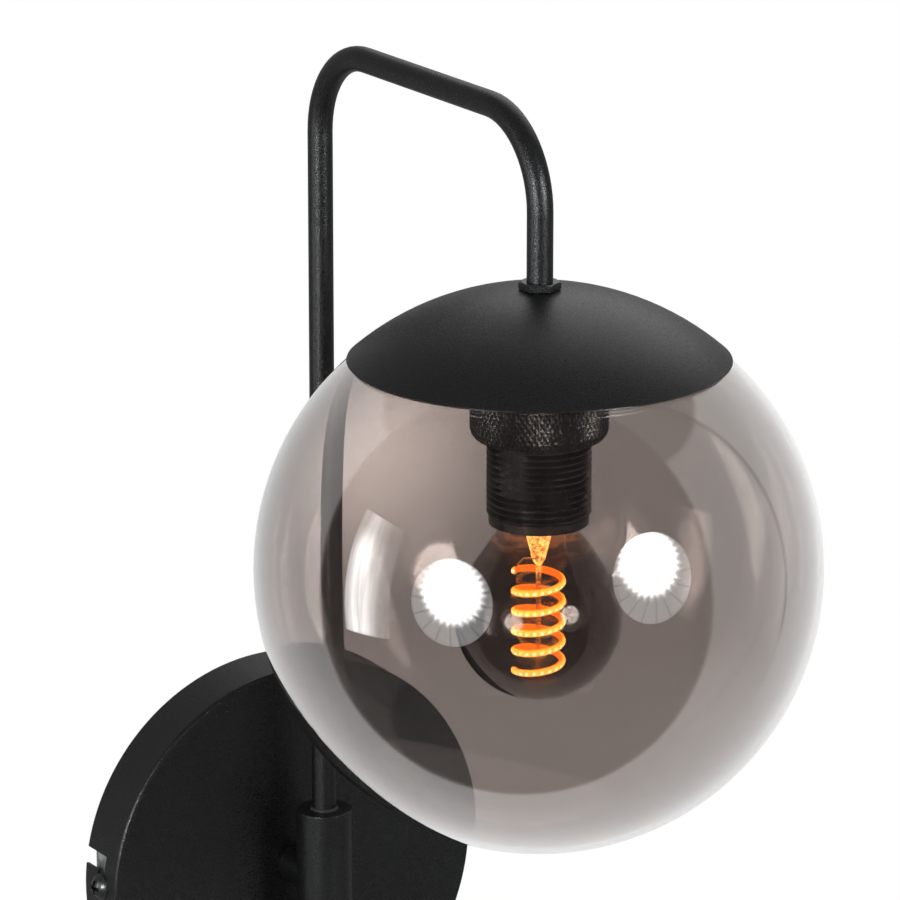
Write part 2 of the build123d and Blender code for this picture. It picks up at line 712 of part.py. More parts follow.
earth_wire_y = -BRACKET_T - WIRE_R
with BuildPart() as earth_wire:
    add(
        round_wire(
            [
                (-lead_offset, cable_end_y, 0),
                (-lead_offset, earth_wire_y, 0),
                (EARTH_X + EARTH_SCREW_R + WIRE_R + SEAT_GAP, earth_wire_y, 0),
            ],
            WIRE_R,
            WIRE_BEND,
        )
    )
finish(earth_wire, "earth_wire")

# Cap: a spun dome that follows the globe, clamped to the tube between two nuts
cap_inside_r = CAP_R - CAP_WALL
rim_angle = degrees(asin(CAP_RIM_R / CAP_R))
bore_angle = degrees(asin((TUBE_R + SEAT_GAP) / CAP_R))
with BuildPart() as globe_cap:
    with BuildSketch(SHADE_PLANE):
        with BuildLine():
            outer = CenterArc((0, GLOBE_Z), CAP_R, 90 - rim_angle, rim_angle - bore_angle)
            inner = CenterArc((0, GLOBE_Z), cap_inside_r, 90 - rim_angle, rim_angle - bore_angle)
            Line(outer @ 0, inner @ 0)
            Line(outer @ 1, inner @ 1)
        make_face()
    revolve(axis=SHADE_AXIS)
finish(globe_cap, "globe_cap")

nut_turn = radians(CAP_NUT_TURN)
cap_nut = hex_nut(
    Plane((0, SHADE_Y, APEX_Z), x_dir=(cos(nut_turn), sin(nut_turn), 0), z_dir=(0, 0, 1)),
    CAP_NUT_H,
    TUBE_R + THREAD_FIT,
)
finish(cap_nut, "cap_nut")

# Spring with three arms: it is clamped under the cap and its arms catch the globe's mouth from inside
glass_inside_r = GLOBE_R - GLOBE_WALL
catch_r = glass_inside_r - FREE_GAP - SPRING_T / 2
hub_corner_r = sqrt((SPRING_HUB_R + 2 * STEP) ** 2 + (SPRING_W / 2) ** 2)
hub_z = GLOBE_Z + sphere_height(cap_inside_r, hub_corner_r) - SEAT_GAP - SPRING_T / 2
neck_r = GLOBE_MOUTH_R - SPRING_T - 2 * FREE_GAP
neck_z = GLOBE_Z + sphere_height(catch_r, GLOBE_MOUTH_R)
catch_end_r = GLOBE_MOUTH_R + SPRING_CATCH
catch_end_z = GLOBE_Z + sphere_height(catch_r, catch_end_r)
knee_z = GLOBE_Z + sphere_height(GLOBE_R, GLOBE_MOUTH_R)
with BuildPart() as spring_arm:
    with BuildSketch(SHADE_PLANE):
        with BuildLine():
            FilletPolyline(
                (TUBE_R + STEP, hub_z),
                (SPRING_HUB_R + STEP, hub_z),
                (neck_r - SPRING_CATCH, knee_z),
                (neck_r, neck_z + SPRING_T),
                (catch_end_r, catch_end_z),
                (neck_r, catch_end_z - SPRING_TAIL),
                radius=SPRING_BEND,
            )
        trace(line_width=SPRING_T)
    extrude(amount=SPRING_W / 2, both=True)
spring_arms = [spring_arm.part.rotate(SHADE_AXIS, 360 / ARM_COUNT * step) for step in range(ARM_COUNT)]
with BuildPart() as globe_spring:
    with BuildSketch(SHADE_PLANE):
        ring_section(TUBE_R + SEAT_GAP, SPRING_HUB_R, hub_z - SPRING_T / 2, hub_z + SPRING_T / 2)
    revolve(axis=SHADE_AXIS)
    add(spring_arms)
    with BuildSketch(Plane((0, SHADE_Y, hub_z))):
        Circle(TUBE_R + SEAT_GAP)
    extrude(amount=SPRING_T, both=True, mode=Mode.SUBTRACT)
finish(globe_spring, "globe_spring")

clamp_top = hub_z - SPRING_T / 2
with BuildPart() as clamp_washer:
    with BuildSketch(SHADE_PLANE):
        ring_section(TUBE_R + SEAT_GAP, SPRING_HUB_R, clamp_top - WASHER_T, clamp_top)
    revolve(axis=SHADE_AXIS)
finish(clamp_washer, "clamp_washer")

clamp_nut = hex_nut(
    Plane((0, SHADE_Y, clamp_top - WASHER_T), x_dir=(1, 0, 0), z_dir=(0, 0, -1)),
    CLAMP_NUT_H,
    TUBE_R + THREAD_FIT,
)
finish(clamp_nut, "clamp_nut")

# Globe: a blown shell, open at the top under the cap
with BuildPart() as globe:
    with BuildSketch(SHADE_PLANE):
        with BuildLine():
            mouth_outer = degrees(asin(GLOBE_MOUTH_R / GLOBE_R))
            mouth_inner = degrees(asin(GLOBE_MOUTH_R / glass_inside_r))
            outside = CenterArc((0, GLOBE_Z), GLOBE_R, -90, 180 - mouth_outer)
            inside = CenterArc((0, GLOBE_Z), glass_inside_r, -90, 180 - mouth_inner)
            Line(outside @ 0, inside @ 0)
            Line(outside @ 1, inside @ 1)
        make_face()
    revolve(axis=SHADE_AXIS)
    fillet(globe.edges().sort_by(Axis.Z)[-2:], GLOBE_EDGE_R)
finish(globe, "globe")

# Lampholder: cap, threaded body and shade ring
body_top = LIP_Z + BODY_H
ring_low = LIP_Z + RING_BOTTOM
ring_top = body_top + RING_COLLAR_H
neck_base = body_top + HOLDER_CAP_H
neck_top = neck_base + HOLDER_NECK_H
with BuildPart() as holder_cap:
    with BuildSketch(SHADE_PLANE):
        with BuildLine():
            wall = Polyline(
                (HOLDER_CAP_R - HOLDER_CAP_WALL, body_top),
                (HOLDER_CAP_R, body_top),
                (HOLDER_CAP_R, neck_base - HOLDER_SHOULDER_H),
            )
            shoulder = RadiusArc(wall @ 1, (HOLDER_NECK_R, neck_base), -HOLDER_CAP_R)
            roof = Polyline(
                shoulder @ 1,
                (HOLDER_NECK_R, neck_top),
                (TUBE_R + THREAD_FIT, neck_top),
                (TUBE_R + THREAD_FIT, neck_base - HOLDER_CAP_WALL),
                (HOLDER_NECK_R, neck_base - HOLDER_CAP_WALL),
            )
            hollow = RadiusArc(
                (HOLDER_CAP_R - HOLDER_CAP_WALL, neck_base - HOLDER_SHOULDER_H),
                roof @ 1,
                -HOLDER_CAP_R,
            )
            Line(hollow @ 0, wall @ 0)
        make_face()
    revolve(axis=SHADE_AXIS)
finish(holder_cap, "holder_cap")

thread_low = LIP_Z + LIP_H
thread_count = int((body_top - thread_low) / THREAD_PITCH)
thread_points = [
    (radius, thread_low + THREAD_PITCH * (turn + share))
    for turn in range(thread_count)
    for radius, share in THREAD_FORM
]
flat_r = THREAD_ROOT_R - SEAT_GAP
flat_low = thread_low + FLAT_TURNS * THREAD_PITCH
with BuildPart() as holder_body:
    with BuildSketch(SHADE_PLANE):
        outline(
            (MOUTH_R, LIP_Z),
            (LIP_R - SEAT_GAP, LIP_Z),
            (LIP_R, LIP_Z + SEAT_GAP),
            (LIP_R, thread_low),
            *thread_points,
            (THREAD_ROOT_R, body_top),
            (BODY_BORE_R, body_top),
            (BODY_BORE_R, thread_low),
            (MOUTH_R, thread_low),
        )
    revolve(axis=SHADE_AXIS)
    for flat_angle in FLAT_ANGLES:
        with BuildSketch(Plane((0, SHADE_Y, flat_low)).rotated((0, 0, flat_angle))):
            with Locations((flat_r + THREAD_PITCH, 0)):
                Rectangle(2 * THREAD_PITCH, THREAD_R)
        extrude(amount=body_top - flat_low, mode=Mode.SUBTRACT)
finish(holder_body, "holder_body")

ring_bore_r = THREAD_R + SEAT_GAP
ring_collar_r = HOLDER_CAP_R + SEAT_GAP
ring_round = RING_R - ring_bore_r - STEP
ring_sink = ring_round * (1 - sqrt(1 / 2))
with BuildPart() as shade_ring:
    with BuildSketch(SHADE_PLANE):
        with BuildLine():
            ring_foot = ThreePointArc(
                (RING_R - ring_round, ring_low),
                (RING_R - ring_sink, ring_low + ring_sink),
                (RING_R, ring_low + ring_round),
            )
            Polyline(
                ring_foot @ 1,
                (RING_R, ring_top),
                (ring_collar_r, ring_top),
                (ring_collar_r, body_top),
                (ring_bore_r, body_top),
                (ring_bore_r, ring_low),
                ring_foot @ 0,
            )
        make_face()
    revolve(axis=SHADE_AXIS)
finish(shade_ring, "shade_ring")

# Inside the lampholder: contact block, screw shell, sprung centre contact and terminals
block_low = LIP_Z + BLOCK_BOTTOM
block_high = block_low + BLOCK_HEIGHT
with BuildPart() as contact_block:
    with BuildSketch(SHADE_PLANE):
        outline(
            (PLUNGER_R + FREE_GAP, block_low + SPRING_WELL_H),
            (SPRING_WELL_R, block_low + SPRING_WELL_H),
            (SPRING_WELL_R, block_low),
            (BODY_BORE_R - SEAT_GAP, block_low),
            (BODY_BORE_R - SEAT_GAP, block_high),
            (PLUNGER_R + FREE_GAP, block_high),
        )
    revolve(axis=SHADE_AXIS)
finish(contact_block, "contact_block")

shell_low = LIP_Z + SHELL_BOTTOM
shell_r = SHELL_BORE_R + SHELL_WALL
with BuildPart() as screw_shell:
    with BuildSketch(SHADE_PLANE):
        outline(
            (SHELL_BORE_R, shell_low),
            (shell_r, shell_low),
            (shell_r, block_low),
            (SHELL_MOUTH_R, block_low),
            (SHELL_MOUTH_R, block_low - SHELL_WALL),
            (SHELL_BORE_R, block_low - SHELL_WALL),
        )
    revolve(axis=SHADE_AXIS)
finish(screw_shell, "screw_shell")

plunger_low = block_low - PLUNGER_HEAD_H - SHELL_WALL
plunger_high = block_high + PLUNGER_TRAVEL + FREE_GAP
with BuildPart() as centre_contact:
    with BuildSketch(SHADE_PLANE):
        outline(
            (0, plunger_low),
            (PLUNGER_HEAD_R, plunger_low),
            (PLUNGER_HEAD_R, plunger_low + PLUNGER_HEAD_H),
            (PLUNGER_R, plunger_low + PLUNGER_HEAD_H),
            (PLUNGER_R, plunger_high),
            (PLUNGER_HEAD_R - STEP, plunger_high),
            (PLUNGER_HEAD_R - STEP, plunger_high + STEP),
            (0, plunger_high + STEP),
        )
    revolve(axis=SHADE_AXIS)
finish(centre_contact, "centre_contact")

coil_low = plunger_low + PLUNGER_HEAD_H + COIL_WIRE_R + FREE_GAP
coil_high = block_low + SPRING_WELL_H - COIL_WIRE_R - FREE_GAP
coil_pitch = (coil_high - coil_low) / COIL_TURNS
contact_spring = coil(COIL_R, coil_pitch, COIL_TURNS, 0, coil_low, COIL_WIRE_R)
finish(contact_spring, "contact_spring")

with BuildPart() as holder_terminals:
    with BuildSketch(Plane((0, SHADE_Y, block_high))):
        with Locations((-CLAMP_X, 0), (CLAMP_X, 0)):
            Rectangle(CLAMP_SIZE, CLAMP_SIZE)
            Circle(CLAMP_SCREW_R + THREAD_FIT, mode=Mode.SUBTRACT)
    extrude(amount=CLAMP_SIZE)
finish(holder_terminals, "holder_terminals")

with BuildPart() as holder_terminal_screws:
    with BuildSketch(Plane((0, SHADE_Y, block_high))):
        with Locations((-CLAMP_X, 0), (CLAMP_X, 0)):
            Circle(CLAMP_SCREW_R)
    extrude(amount=CLAMP_SIZE - STEP)
finish(holder_terminal_screws, "holder_terminal_screws")

lead_turn_z = block_high + CLAMP_SIZE + WIRE_R + WIRE_BEND
holder_lead_solids = [
    round_wire(
        [
            (side * lead_offset, SHADE_Y, cable_end_z),
            (side * lead_offset, SHADE_Y, lead_turn_z),
            (side * CLAMP_X, SHADE_Y, lead_turn_z),
            (side * CLAMP_X, SHADE_Y, block_high + CLAMP_SIZE),
        ],
        WIRE_R,
        LEAD_BEND,
    )
    for side in (-1, 1)
]
with BuildPart() as holder_leads:
    add(holder_lead_solids)
finish(holder_leads, "holder_leads")

# Bulb: glass envelope, screw cap, insulator and tip
bulb_z = LIP_Z + BULB_CENTRE
cap_low = LIP_Z + SCREW_CAP_BOTTOM
screw_low = cap_low + SCREW_CAP_PLAIN
screw_high = screw_low + SCREW_PITCH * SCREW_CAP_TURNS
tip_high = plunger_low - FREE_GAP
tip_low = tip_high - TIP_H
blend_r = NECK_R + NECK_BLEND_R
slope = radians(BULB_CONE)
cone_run = (BULB_R * cos(slope) - blend_r + NECK_BLEND_R * cos(slope)) / tan(slope)
blend_z = bulb_z + BULB_R * sin(slope) + cone_run + NECK_BLEND_R * sin(slope)


def envelope(inset, top):
    """Fill the half section of the bulb's glass, its surface set in by a distance."""
    ball_r = BULB_R - inset
    throat_r = NECK_BLEND_R + inset
    with BuildLine() as section:
        ball = CenterArc((0, bulb_z), ball_r, -90, 90 + BULB_CONE)
        throat = CenterArc((blend_r, blend_z), throat_r, 180, BULB_CONE)
        Line(ball @ 1, throat @ 1)
        Polyline(throat @ 0, (NECK_R - inset, top), (0, top), ball @ 0)
    make_face(section.edges())


with BuildPart() as bulb_glass:
    with BuildSketch(SHADE_PLANE):
        envelope(0, LIP_Z + NECK_TOP)
    revolve(axis=SHADE_AXIS)
    with BuildSketch(SHADE_PLANE):
        envelope(BULB_WALL, LIP_Z + NECK_TOP + CUT)
    revolve(axis=SHADE_AXIS, mode=Mode.SUBTRACT)
finish(bulb_glass, "bulb_glass")

cap_bore_r = SCREW_CAP_ROOT_R - SCREW_CAP_WALL
with BuildPart() as bulb_cap:
    with BuildSketch(SHADE_PLANE):
        with BuildLine():
            skirt = Polyline(
                (NECK_R + SEAT_GAP, cap_low),
                (SCREW_CAP_R, cap_low),
                (SCREW_CAP_R, screw_low - STEP),
                (SCREW_CAP_ROOT_R, screw_low),
            )
            for turn in range(SCREW_CAP_TURNS):
                ThreePointArc(
                    (SCREW_CAP_ROOT_R, screw_low + SCREW_PITCH * turn),
                    (SCREW_CAP_R, screw_low + SCREW_PITCH * (turn + 0.5)),
                    (SCREW_CAP_ROOT_R, screw_low + SCREW_PITCH * (turn + 1)),
                )
            Polyline(
                (SCREW_CAP_ROOT_R, screw_high),
                (cap_bore_r, screw_high),
                (cap_bore_r, LIP_Z + NECK_TOP + STEP),
                (NECK_R + SEAT_GAP, LIP_Z + NECK_TOP + STEP),
                skirt @ 0,
            )
        make_face()
    revolve(axis=SHADE_AXIS)
finish(bulb_cap, "bulb_cap")

with BuildPart() as bulb_insulator:
    with BuildSketch(SHADE_PLANE):
        outline(
            (0, screw_high),
            (SCREW_CAP_ROOT_R, screw_high),
            (SCREW_CAP_ROOT_R, screw_high + STEP / 2),
            (TIP_R, tip_low),
            (0, tip_low),
        )
    revolve(axis=SHADE_AXIS)
finish(bulb_insulator, "bulb_insulator")

with BuildPart() as bulb_tip:
    with BuildSketch(SHADE_PLANE):
        outline(
            (0, tip_low),
            (TIP_R, tip_low),
            (TIP_R - STEP / 2, tip_high),
            (0, tip_high),
        )
    revolve(axis=SHADE_AXIS)
finish(bulb_tip, "bulb_tip")

# Driver board in the screw cap, with one round capacitor
board_low = LIP_Z + NECK_TOP + STEP + FREE_GAP
with BuildPart() as bulb_driver:
    with BuildSketch(Plane((0, SHADE_Y, board_low))):
        Circle(cap_bore_r - FREE_GAP)
    extrude(amount=BOARD_T)
    with BuildSketch(Plane((0, SHADE_Y, board_low + BOARD_T))):
        Circle(CAPACITOR_R)
    extrude(amount=screw_high - board_low - BOARD_T - FREE_GAP)
finish(bulb_driver, "bulb_driver")

# Glass stem with its rod, the leads and the spiral filament
filament_foot_z = LIP_Z + FILAMENT_FOOT
filament_top_z = filament_foot_z + FILAMENT_PITCH * FILAMENT_TURNS
stem_top = LIP_Z + NECK_TOP
pinch_z = filament_top_z + STEM_R
rod_low = filament_foot_z - 2 * FILAMENT_WIRE_R
flare_r = NECK_R - BULB_WALL - FREE_GAP
with BuildPart() as filament_stem:
    with BuildSketch(SHADE_PLANE):
        outline(
            (0, stem_top),
            (flare_r, stem_top),
            (flare_r, stem_top - STEP),
            (STEM_R, stem_top - flare_r + STEM_R),
            (STEM_R, pinch_z + 2 * STEM_R),
            (STEM_PINCH_R, pinch_z),
            (STEM_ROD_R, pinch_z - STEM_PINCH_R),
            (STEM_ROD_R, rod_low),
            (0, rod_low),
        )
    revolve(axis=SHADE_AXIS)
finish(filament_stem, "filament_stem")

filament = coil(
    FILAMENT_R,
    FILAMENT_PITCH,
    FILAMENT_TURNS,
    FILAMENT_START,
    filament_foot_z,
    FILAMENT_WIRE_R,
)
finish(filament, "filament")
print("filament gap", round(least_gap(FILAMENT_R, FILAMENT_PITCH, FILAMENT_TURNS, FILAMENT_WIRE_R), 2))
print("contact spring gap", round(least_gap(COIL_R, coil_pitch, COIL_TURNS, COIL_WIRE_R), 2))

end_x = cos(radians(FILAMENT_START))
end_y = sin(radians(FILAMENT_START))


def lead_route(inner_r, inner_z, outer_z):
    """A lead from the stem out to an end of the filament, with one knee."""
    outer_r = FILAMENT_R - LEAD_BITE
    knee_r = (inner_r + outer_r) / 2
    return [
        (end_x * inner_r, SHADE_Y + end_y * inner_r, inner_z),
        (end_x * knee_r, SHADE_Y + end_y * knee_r, inner_z),
        (end_x * outer_r, SHADE_Y + end_y * outer_r, outer_z),
    ]


upper_end_z = filament_top_z + FILAMENT_WIRE_R + LEAD_R
lower_end_z = filament_foot_z - FILAMENT_WIRE_R - LEAD_R
lead_solids = [
    round_wire(lead_route(STEM_PINCH_R + SEAT_GAP, pinch_z, upper_end_z), LEAD_R, 2 * LEAD_R),
    round_wire(lead_route(STEM_ROD_R, rod_low + LEAD_R, lower_end_z), LEAD_R, LEAD_R),
]
with BuildPart() as filament_leads:
    add(lead_solids)
finish(filament_leads, "filament_leads")
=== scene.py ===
"""Looks of a wall lamp: black powder-coated metal, smoked glass and a lit spiral filament."""

import json
from math import cos, pi, radians, sin

import bmesh
import bpy
from bpy.props import FloatProperty, FloatVectorProperty, IntProperty, PointerProperty
from bpy.types import Operator, Panel, PropertyGroup
from mathutils import Matrix, Vector


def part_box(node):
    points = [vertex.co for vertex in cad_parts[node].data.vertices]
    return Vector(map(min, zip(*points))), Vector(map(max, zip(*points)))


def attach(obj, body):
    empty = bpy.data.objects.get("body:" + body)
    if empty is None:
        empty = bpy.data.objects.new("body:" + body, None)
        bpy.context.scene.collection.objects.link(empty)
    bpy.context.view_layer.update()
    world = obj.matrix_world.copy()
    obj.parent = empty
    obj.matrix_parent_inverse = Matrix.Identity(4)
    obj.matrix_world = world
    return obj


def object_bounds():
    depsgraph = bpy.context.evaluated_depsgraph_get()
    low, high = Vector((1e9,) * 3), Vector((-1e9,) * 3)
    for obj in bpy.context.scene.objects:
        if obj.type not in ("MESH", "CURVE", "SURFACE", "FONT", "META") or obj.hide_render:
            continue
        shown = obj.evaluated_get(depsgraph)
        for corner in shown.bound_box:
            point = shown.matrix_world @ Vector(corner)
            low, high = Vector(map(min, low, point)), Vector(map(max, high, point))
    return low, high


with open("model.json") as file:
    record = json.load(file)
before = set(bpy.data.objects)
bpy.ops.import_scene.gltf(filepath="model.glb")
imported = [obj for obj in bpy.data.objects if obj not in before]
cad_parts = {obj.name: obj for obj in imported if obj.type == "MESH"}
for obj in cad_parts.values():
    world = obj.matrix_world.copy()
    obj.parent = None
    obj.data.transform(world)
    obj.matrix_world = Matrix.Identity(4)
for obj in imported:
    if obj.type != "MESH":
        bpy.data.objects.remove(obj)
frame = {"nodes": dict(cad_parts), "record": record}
CAD_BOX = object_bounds()

bl_info = {
    "name": "Wall lamp with a smoked globe",
    "version": (1, 0, 0),
    "blender": (4, 5, 0),
    "location": "3D View > Sidebar > Wall lamp",
    "description": "Finishes, knurled ring, lit filament and studio of a wall lamp",
    "category": "Object",
}

SUBPARTS = frame["record"]["subparts"]
GLOBE_LOW, GLOBE_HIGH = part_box("globe")
SHADE_X = (GLOBE_LOW.x + GLOBE_HIGH.x) / 2
SHADE_Y = (GLOBE_LOW.y + GLOBE_HIGH.y) / 2
GLOBE_RADIUS = (GLOBE_HIGH.x - GLOBE_LOW.x) / 2
GLOBE_MIDDLE = Vector((SHADE_X, SHADE_Y, GLOBE_LOW.z + GLOBE_RADIUS))
RING_LOW, RING_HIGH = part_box("shade_ring")
RING_RADIUS = (RING_HIGH.x - RING_LOW.x) / 2
FILAMENT_LOW, FILAMENT_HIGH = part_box("filament")
LIP_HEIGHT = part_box("holder_body")[0].z

WHITE = (1.0, 1.0, 1.0, 1.0)
BLACK = (0.0, 0.0, 0.0, 1.0)
ZINC = (0.52, 0.53, 0.54)
SPRING_STEEL = (0.4, 0.4, 0.41)
NICKEL = (0.62, 0.6, 0.56)
BRASS = (0.72, 0.5, 0.2)
NYLON = (0.02, 0.02, 0.02)
IVORY = (0.72, 0.7, 0.64)
VITRITE = (0.012, 0.012, 0.016)
BOARD_GREEN = (0.03, 0.16, 0.07)
SHEATH = (0.02, 0.02, 0.02)
BROWN, BLUE = (0.13, 0.05, 0.02), (0.02, 0.09, 0.32)
GREEN, YELLOW = (0.05, 0.28, 0.04), (0.75, 0.6, 0.03)
BLOOM_GREY = (0.3, 0.3, 0.3, 1.0)
STRAND_DARK, STRAND_PALE = (0.22, 0.06, 0.008, 1.0), (0.3, 0.1, 0.015, 1.0)
STEM_DULL, STEM_CLEAR = (0.86, 0.84, 0.8, 1.0), (0.98, 0.97, 0.95, 1.0)
# Emission colours of the stem's painted glow, from dim to bright: the filament's light in the glass
STEM_DARK, STEM_PAINTED_GLOW = (0.03, 0.008, 0.001, 1.0), (1.0, 0.42, 0.09, 1.0)
STEM_SHADOW = (0.95, 0.94, 0.92, 1.0)
FLOOR_DULL, FLOOR_PALE = (0.86, 0.86, 0.86, 1.0), (0.9, 0.9, 0.9, 1.0)
UMBRELLA_WHITE = (0.93, 0.98, 1.0, 1.0)

# Noise scales, as features in a metre.
COAT_PEBBLES = 2300.0
STEEL_PEBBLES = 2600.0
COAT_CLOUDS = 28.0
ZINC_CRYSTALS = 320.0
ZINC_SCUFFS = 900.0
METAL_STAINS = 220.0
MOULD_FLOW = 70.0
MOULD_SKIN = 2600.0
WIRE_BLOOM = 600.0
STRAND_CLOUDS = 900.0
STEM_RIPPLES = 700.0
STEM_CRACKLE = 750.0
GLOBE_DRIFT = 14.0
BULB_DRIFT = 40.0

# Depths of fine relief, in metres.
COAT_DEPTH = 0.000045
FINE_DEPTH = 0.00001
LINE_DEPTH = 0.000015
SKIN_DEPTH = 0.00002
SHEATH_DEPTH = 0.00004
BOARD_DEPTH = 0.00005
RIPPLE_DEPTH = 0.0006

GLASS_IOR = 1.5
GLOBE_SKIN_IOR = 1.63
BULB_SKIN_IOR = 1.6

# Limits between which parts of the sweep fade in a mirror, as sines of angles.
SWEEP_SIDE = (-0.11, -0.065)
SWEEP_TOP_FADE = 0.04
FLOOR_FADE = (-0.2, -0.7)
BRIGHT_FADE = (0.6, 0.95)
RIGHT_FADE = (0.2, 0.4)
CREASE_FOOT = (-0.42, -0.3)
CREASE_EDGE = (0.012, 0.024)
BEYOND_FADE = (0.0, -0.03)
SWEEP_LEAN = 0.12
TOP_SHADE = 0.75
CREASE_SHADE = 0.4

# Burst of light, cover and ribs of an umbrella, with its radius as 1.
BURST_RAYS = 30.0
BURST_EDGE = (0.34, 0.82)
RAY_REACH = 0.13
HOT_SHARPNESS = 16.0
HOT_GAIN = 8.0
RIBS = 16.0
RIB_EDGE = (0.85, 1.0)
COVER_LEVEL = 0.11
RIB_SHADE = 0.04
GLINT_GAIN = 9.0

# Streaks and fall-off of the strip light, with half its face as 1.
STREAKS_ACROSS, STREAKS_UP = 4.0, 0.7
STREAK_EDGE = (0.25, 0.65)
STRIP_PEAK = -0.35
STRIP_SHARPNESS = 3.0
STRIP_LEVEL = 0.12
STRIP_GAIN = 1.9
STRIP_SHADE = 0.35
STRIP_END = (0.8, 0.3)
STRIP_EDGE = (0.0, 0.08)

FLOOR_RADIUS = 14.0
FLOOR_CLOUDS = 1.5
FLOOR_WHITE = 0.997
KNURL_CLEARANCE = 0.00002
CUT_TOLERANCE = 1e-7
WELD_DISTANCE = 1e-6


class Signal:
    """A shader socket that Python's operators act on: an expression adds the Math nodes it needs."""

    def __init__(self, shader, socket):
        self.shader = shader
        self.socket = socket

    def part(self, output):
        """Another output of the same node."""
        return Signal(self.shader, self.socket.node.outputs[output])

    def __add__(self, other):
        return self.shader.math("ADD", self, other)

    __radd__ = __add__

    def __sub__(self, other):
        return self.shader.math("SUBTRACT", self, other)

    def __rsub__(self, other):
        return self.shader.math("SUBTRACT", other, self)

    def __mul__(self, other):
        return self.shader.math("MULTIPLY", self, other)

    __rmul__ = __mul__

    def __truediv__(self, other):
        return self.shader.math("DIVIDE", self, other)

    def __pow__(self, other):
        return self.shader.math("POWER", self, other)

    def __gt__(self, other):
        return self.shader.math("GREATER_THAN", self, other)

    def __abs__(self):
        return self.shader.math("ABSOLUTE", self)

    def off_centre(self):
        """How far the value is from the nearest whole number, from -0.5 to 0.5."""
        return self.shader.math("FRACT", self + 0.5) - 0.5


class Shader:
    """The node tree of a material, a lamp or the world."""

    def __init__(self, owner):
        owner.use_nodes = True
        self.owner = owner
        self.tree = owner.node_tree
        self.tree.nodes.clear()

    @classmethod
    def material(cls, name):
        """The empty tree of a new material."""
        return cls(bpy.data.materials.new(name))

    def node(self, kind, settings=None, sockets=None):
        """Add a node, make its settings, then set or link its sockets. Gives its first live output."""
        made = self.tree.nodes.new(kind)
        for name, value in (settings or {}).items():
            setattr(made, name, value)
        for name, value in (sockets or {}).items():
            if isinstance(value, Signal):
                self.tree.links.new(value.socket, made.inputs[name])
            else:
                made.inputs[name].default_value = value
        live = [output for output in made.outputs if output.enabled]
        return Signal(self, live[0]) if live else None

    def math(self, operation, *values):
        return self.node("ShaderNodeMath", {"operation": operation}, dict(enumerate(values)))

    def place(self):
        """Object coordinates, in metres."""
        return self.node("ShaderNodeTexCoord").part("Object")

    def stretched(self, scale):
        """Object coordinates, with their own scale along each axis."""
        return self.node("ShaderNodeMapping", None, {"Vector": self.place(), "Scale": scale})

    def split(self, vector):
        """The three parts of a vector."""
        across = self.node("ShaderNodeSeparateXYZ", None, {0: vector})
        return across, across.part("Y"), across.part("Z")

    def noise(self, scale, detail=2.0, vector=None):
        """Noise from 0 to 1, with features about 1 / scale metres across."""
        sockets = {"Vector": vector or self.place(), "Scale": scale, "Detail": detail}
        return self.node("ShaderNodeTexNoise", None, sockets)

    def blend(self, factor, first, second):
        """Mix two colours."""
        return self.node("ShaderNodeMix", {"data_type": "RGBA"}, {0: factor, 6: first, 7: second})

    def mix(self, factor, first, second):
        """Mix two surfaces."""
        return self.node("ShaderNodeMixShader", None, {0: factor, 1: first, 2: second})

    def along(self, vector, direction):
        """How far a vector goes in a direction."""
        sockets = {0: vector, 1: direction}
        return self.node("ShaderNodeVectorMath", {"operation": "DOT_PRODUCT"}, sockets).part("Value")

    def ramp(self, value, low, high):
        """Ease a value from 0 to 1 between two limits."""
        sockets = {0: value, 1: low, 2: high, 3: 0.0, 4: 1.0}
        return self.node("ShaderNodeMapRange", {"interpolation_type": "SMOOTHSTEP"}, sockets)

    def bump(self, height, distance):
        """A normal from a height of 0 to 1, which stands for a distance in metres."""
        return self.node("ShaderNodeBump", None, {"Distance": distance, "Height": height})

    def ray(self, output):
        """What the light path says of a ray."""
        return self.node("ShaderNodeLightPath").part(output)

    def met(self, kind):
        """Whether a ray has met a surface of a kind, Glossy or Diffuse, as 0 or 1."""
        return self.ray(f"{kind} Depth") > 0.5

    def principled(self, sockets):
        return self.node("ShaderNodeBsdfPrincipled", None, sockets)

    def clear(self, colour=WHITE):
        return self.node("ShaderNodeBsdfTransparent", None, {"Color": colour})

    def emission(self, strength, colour=WHITE):
        return self.node("ShaderNodeEmission", None, {"Color": colour, "Strength": strength})

    def output(self, surface):
        """Link a surface to the tree's output. Gives the tree's owner."""
        kinds = {"Material": "ShaderNodeOutputMaterial", "World": "ShaderNodeOutputWorld"}
        kind = kinds.get(type(self.owner).__name__, "ShaderNodeOutputLight")
        self.node(kind, None, {"Surface": surface})
        return self.owner


def grey(colour, share):
    """A colour made lighter or darker, with its alpha."""
    return (*(channel * share for channel in colour[:3]), 1.0)


def shade_axis(shader):
    """Sideways and forward distances from the shade's upright axis, and height, in metres."""
    across, forward, height = shader.split(shader.place())
    return across - SHADE_X, forward - SHADE_Y, height


def finish(nodes, material):
    """Give a finish to CAD nodes."""
    for name in nodes:
        slots = frame["nodes"][name].data.materials
        slots.clear()
        slots.append(material)


def finish_slot(slot, material):
    """Give a finish to every CAD node that the record puts in its slot."""
    nodes = [row["node"] for row in SUBPARTS if row["material_slot"] == slot]
    if not nodes:
        raise RuntimeError(f"no node takes the finish {slot}")
    finish(nodes, material)


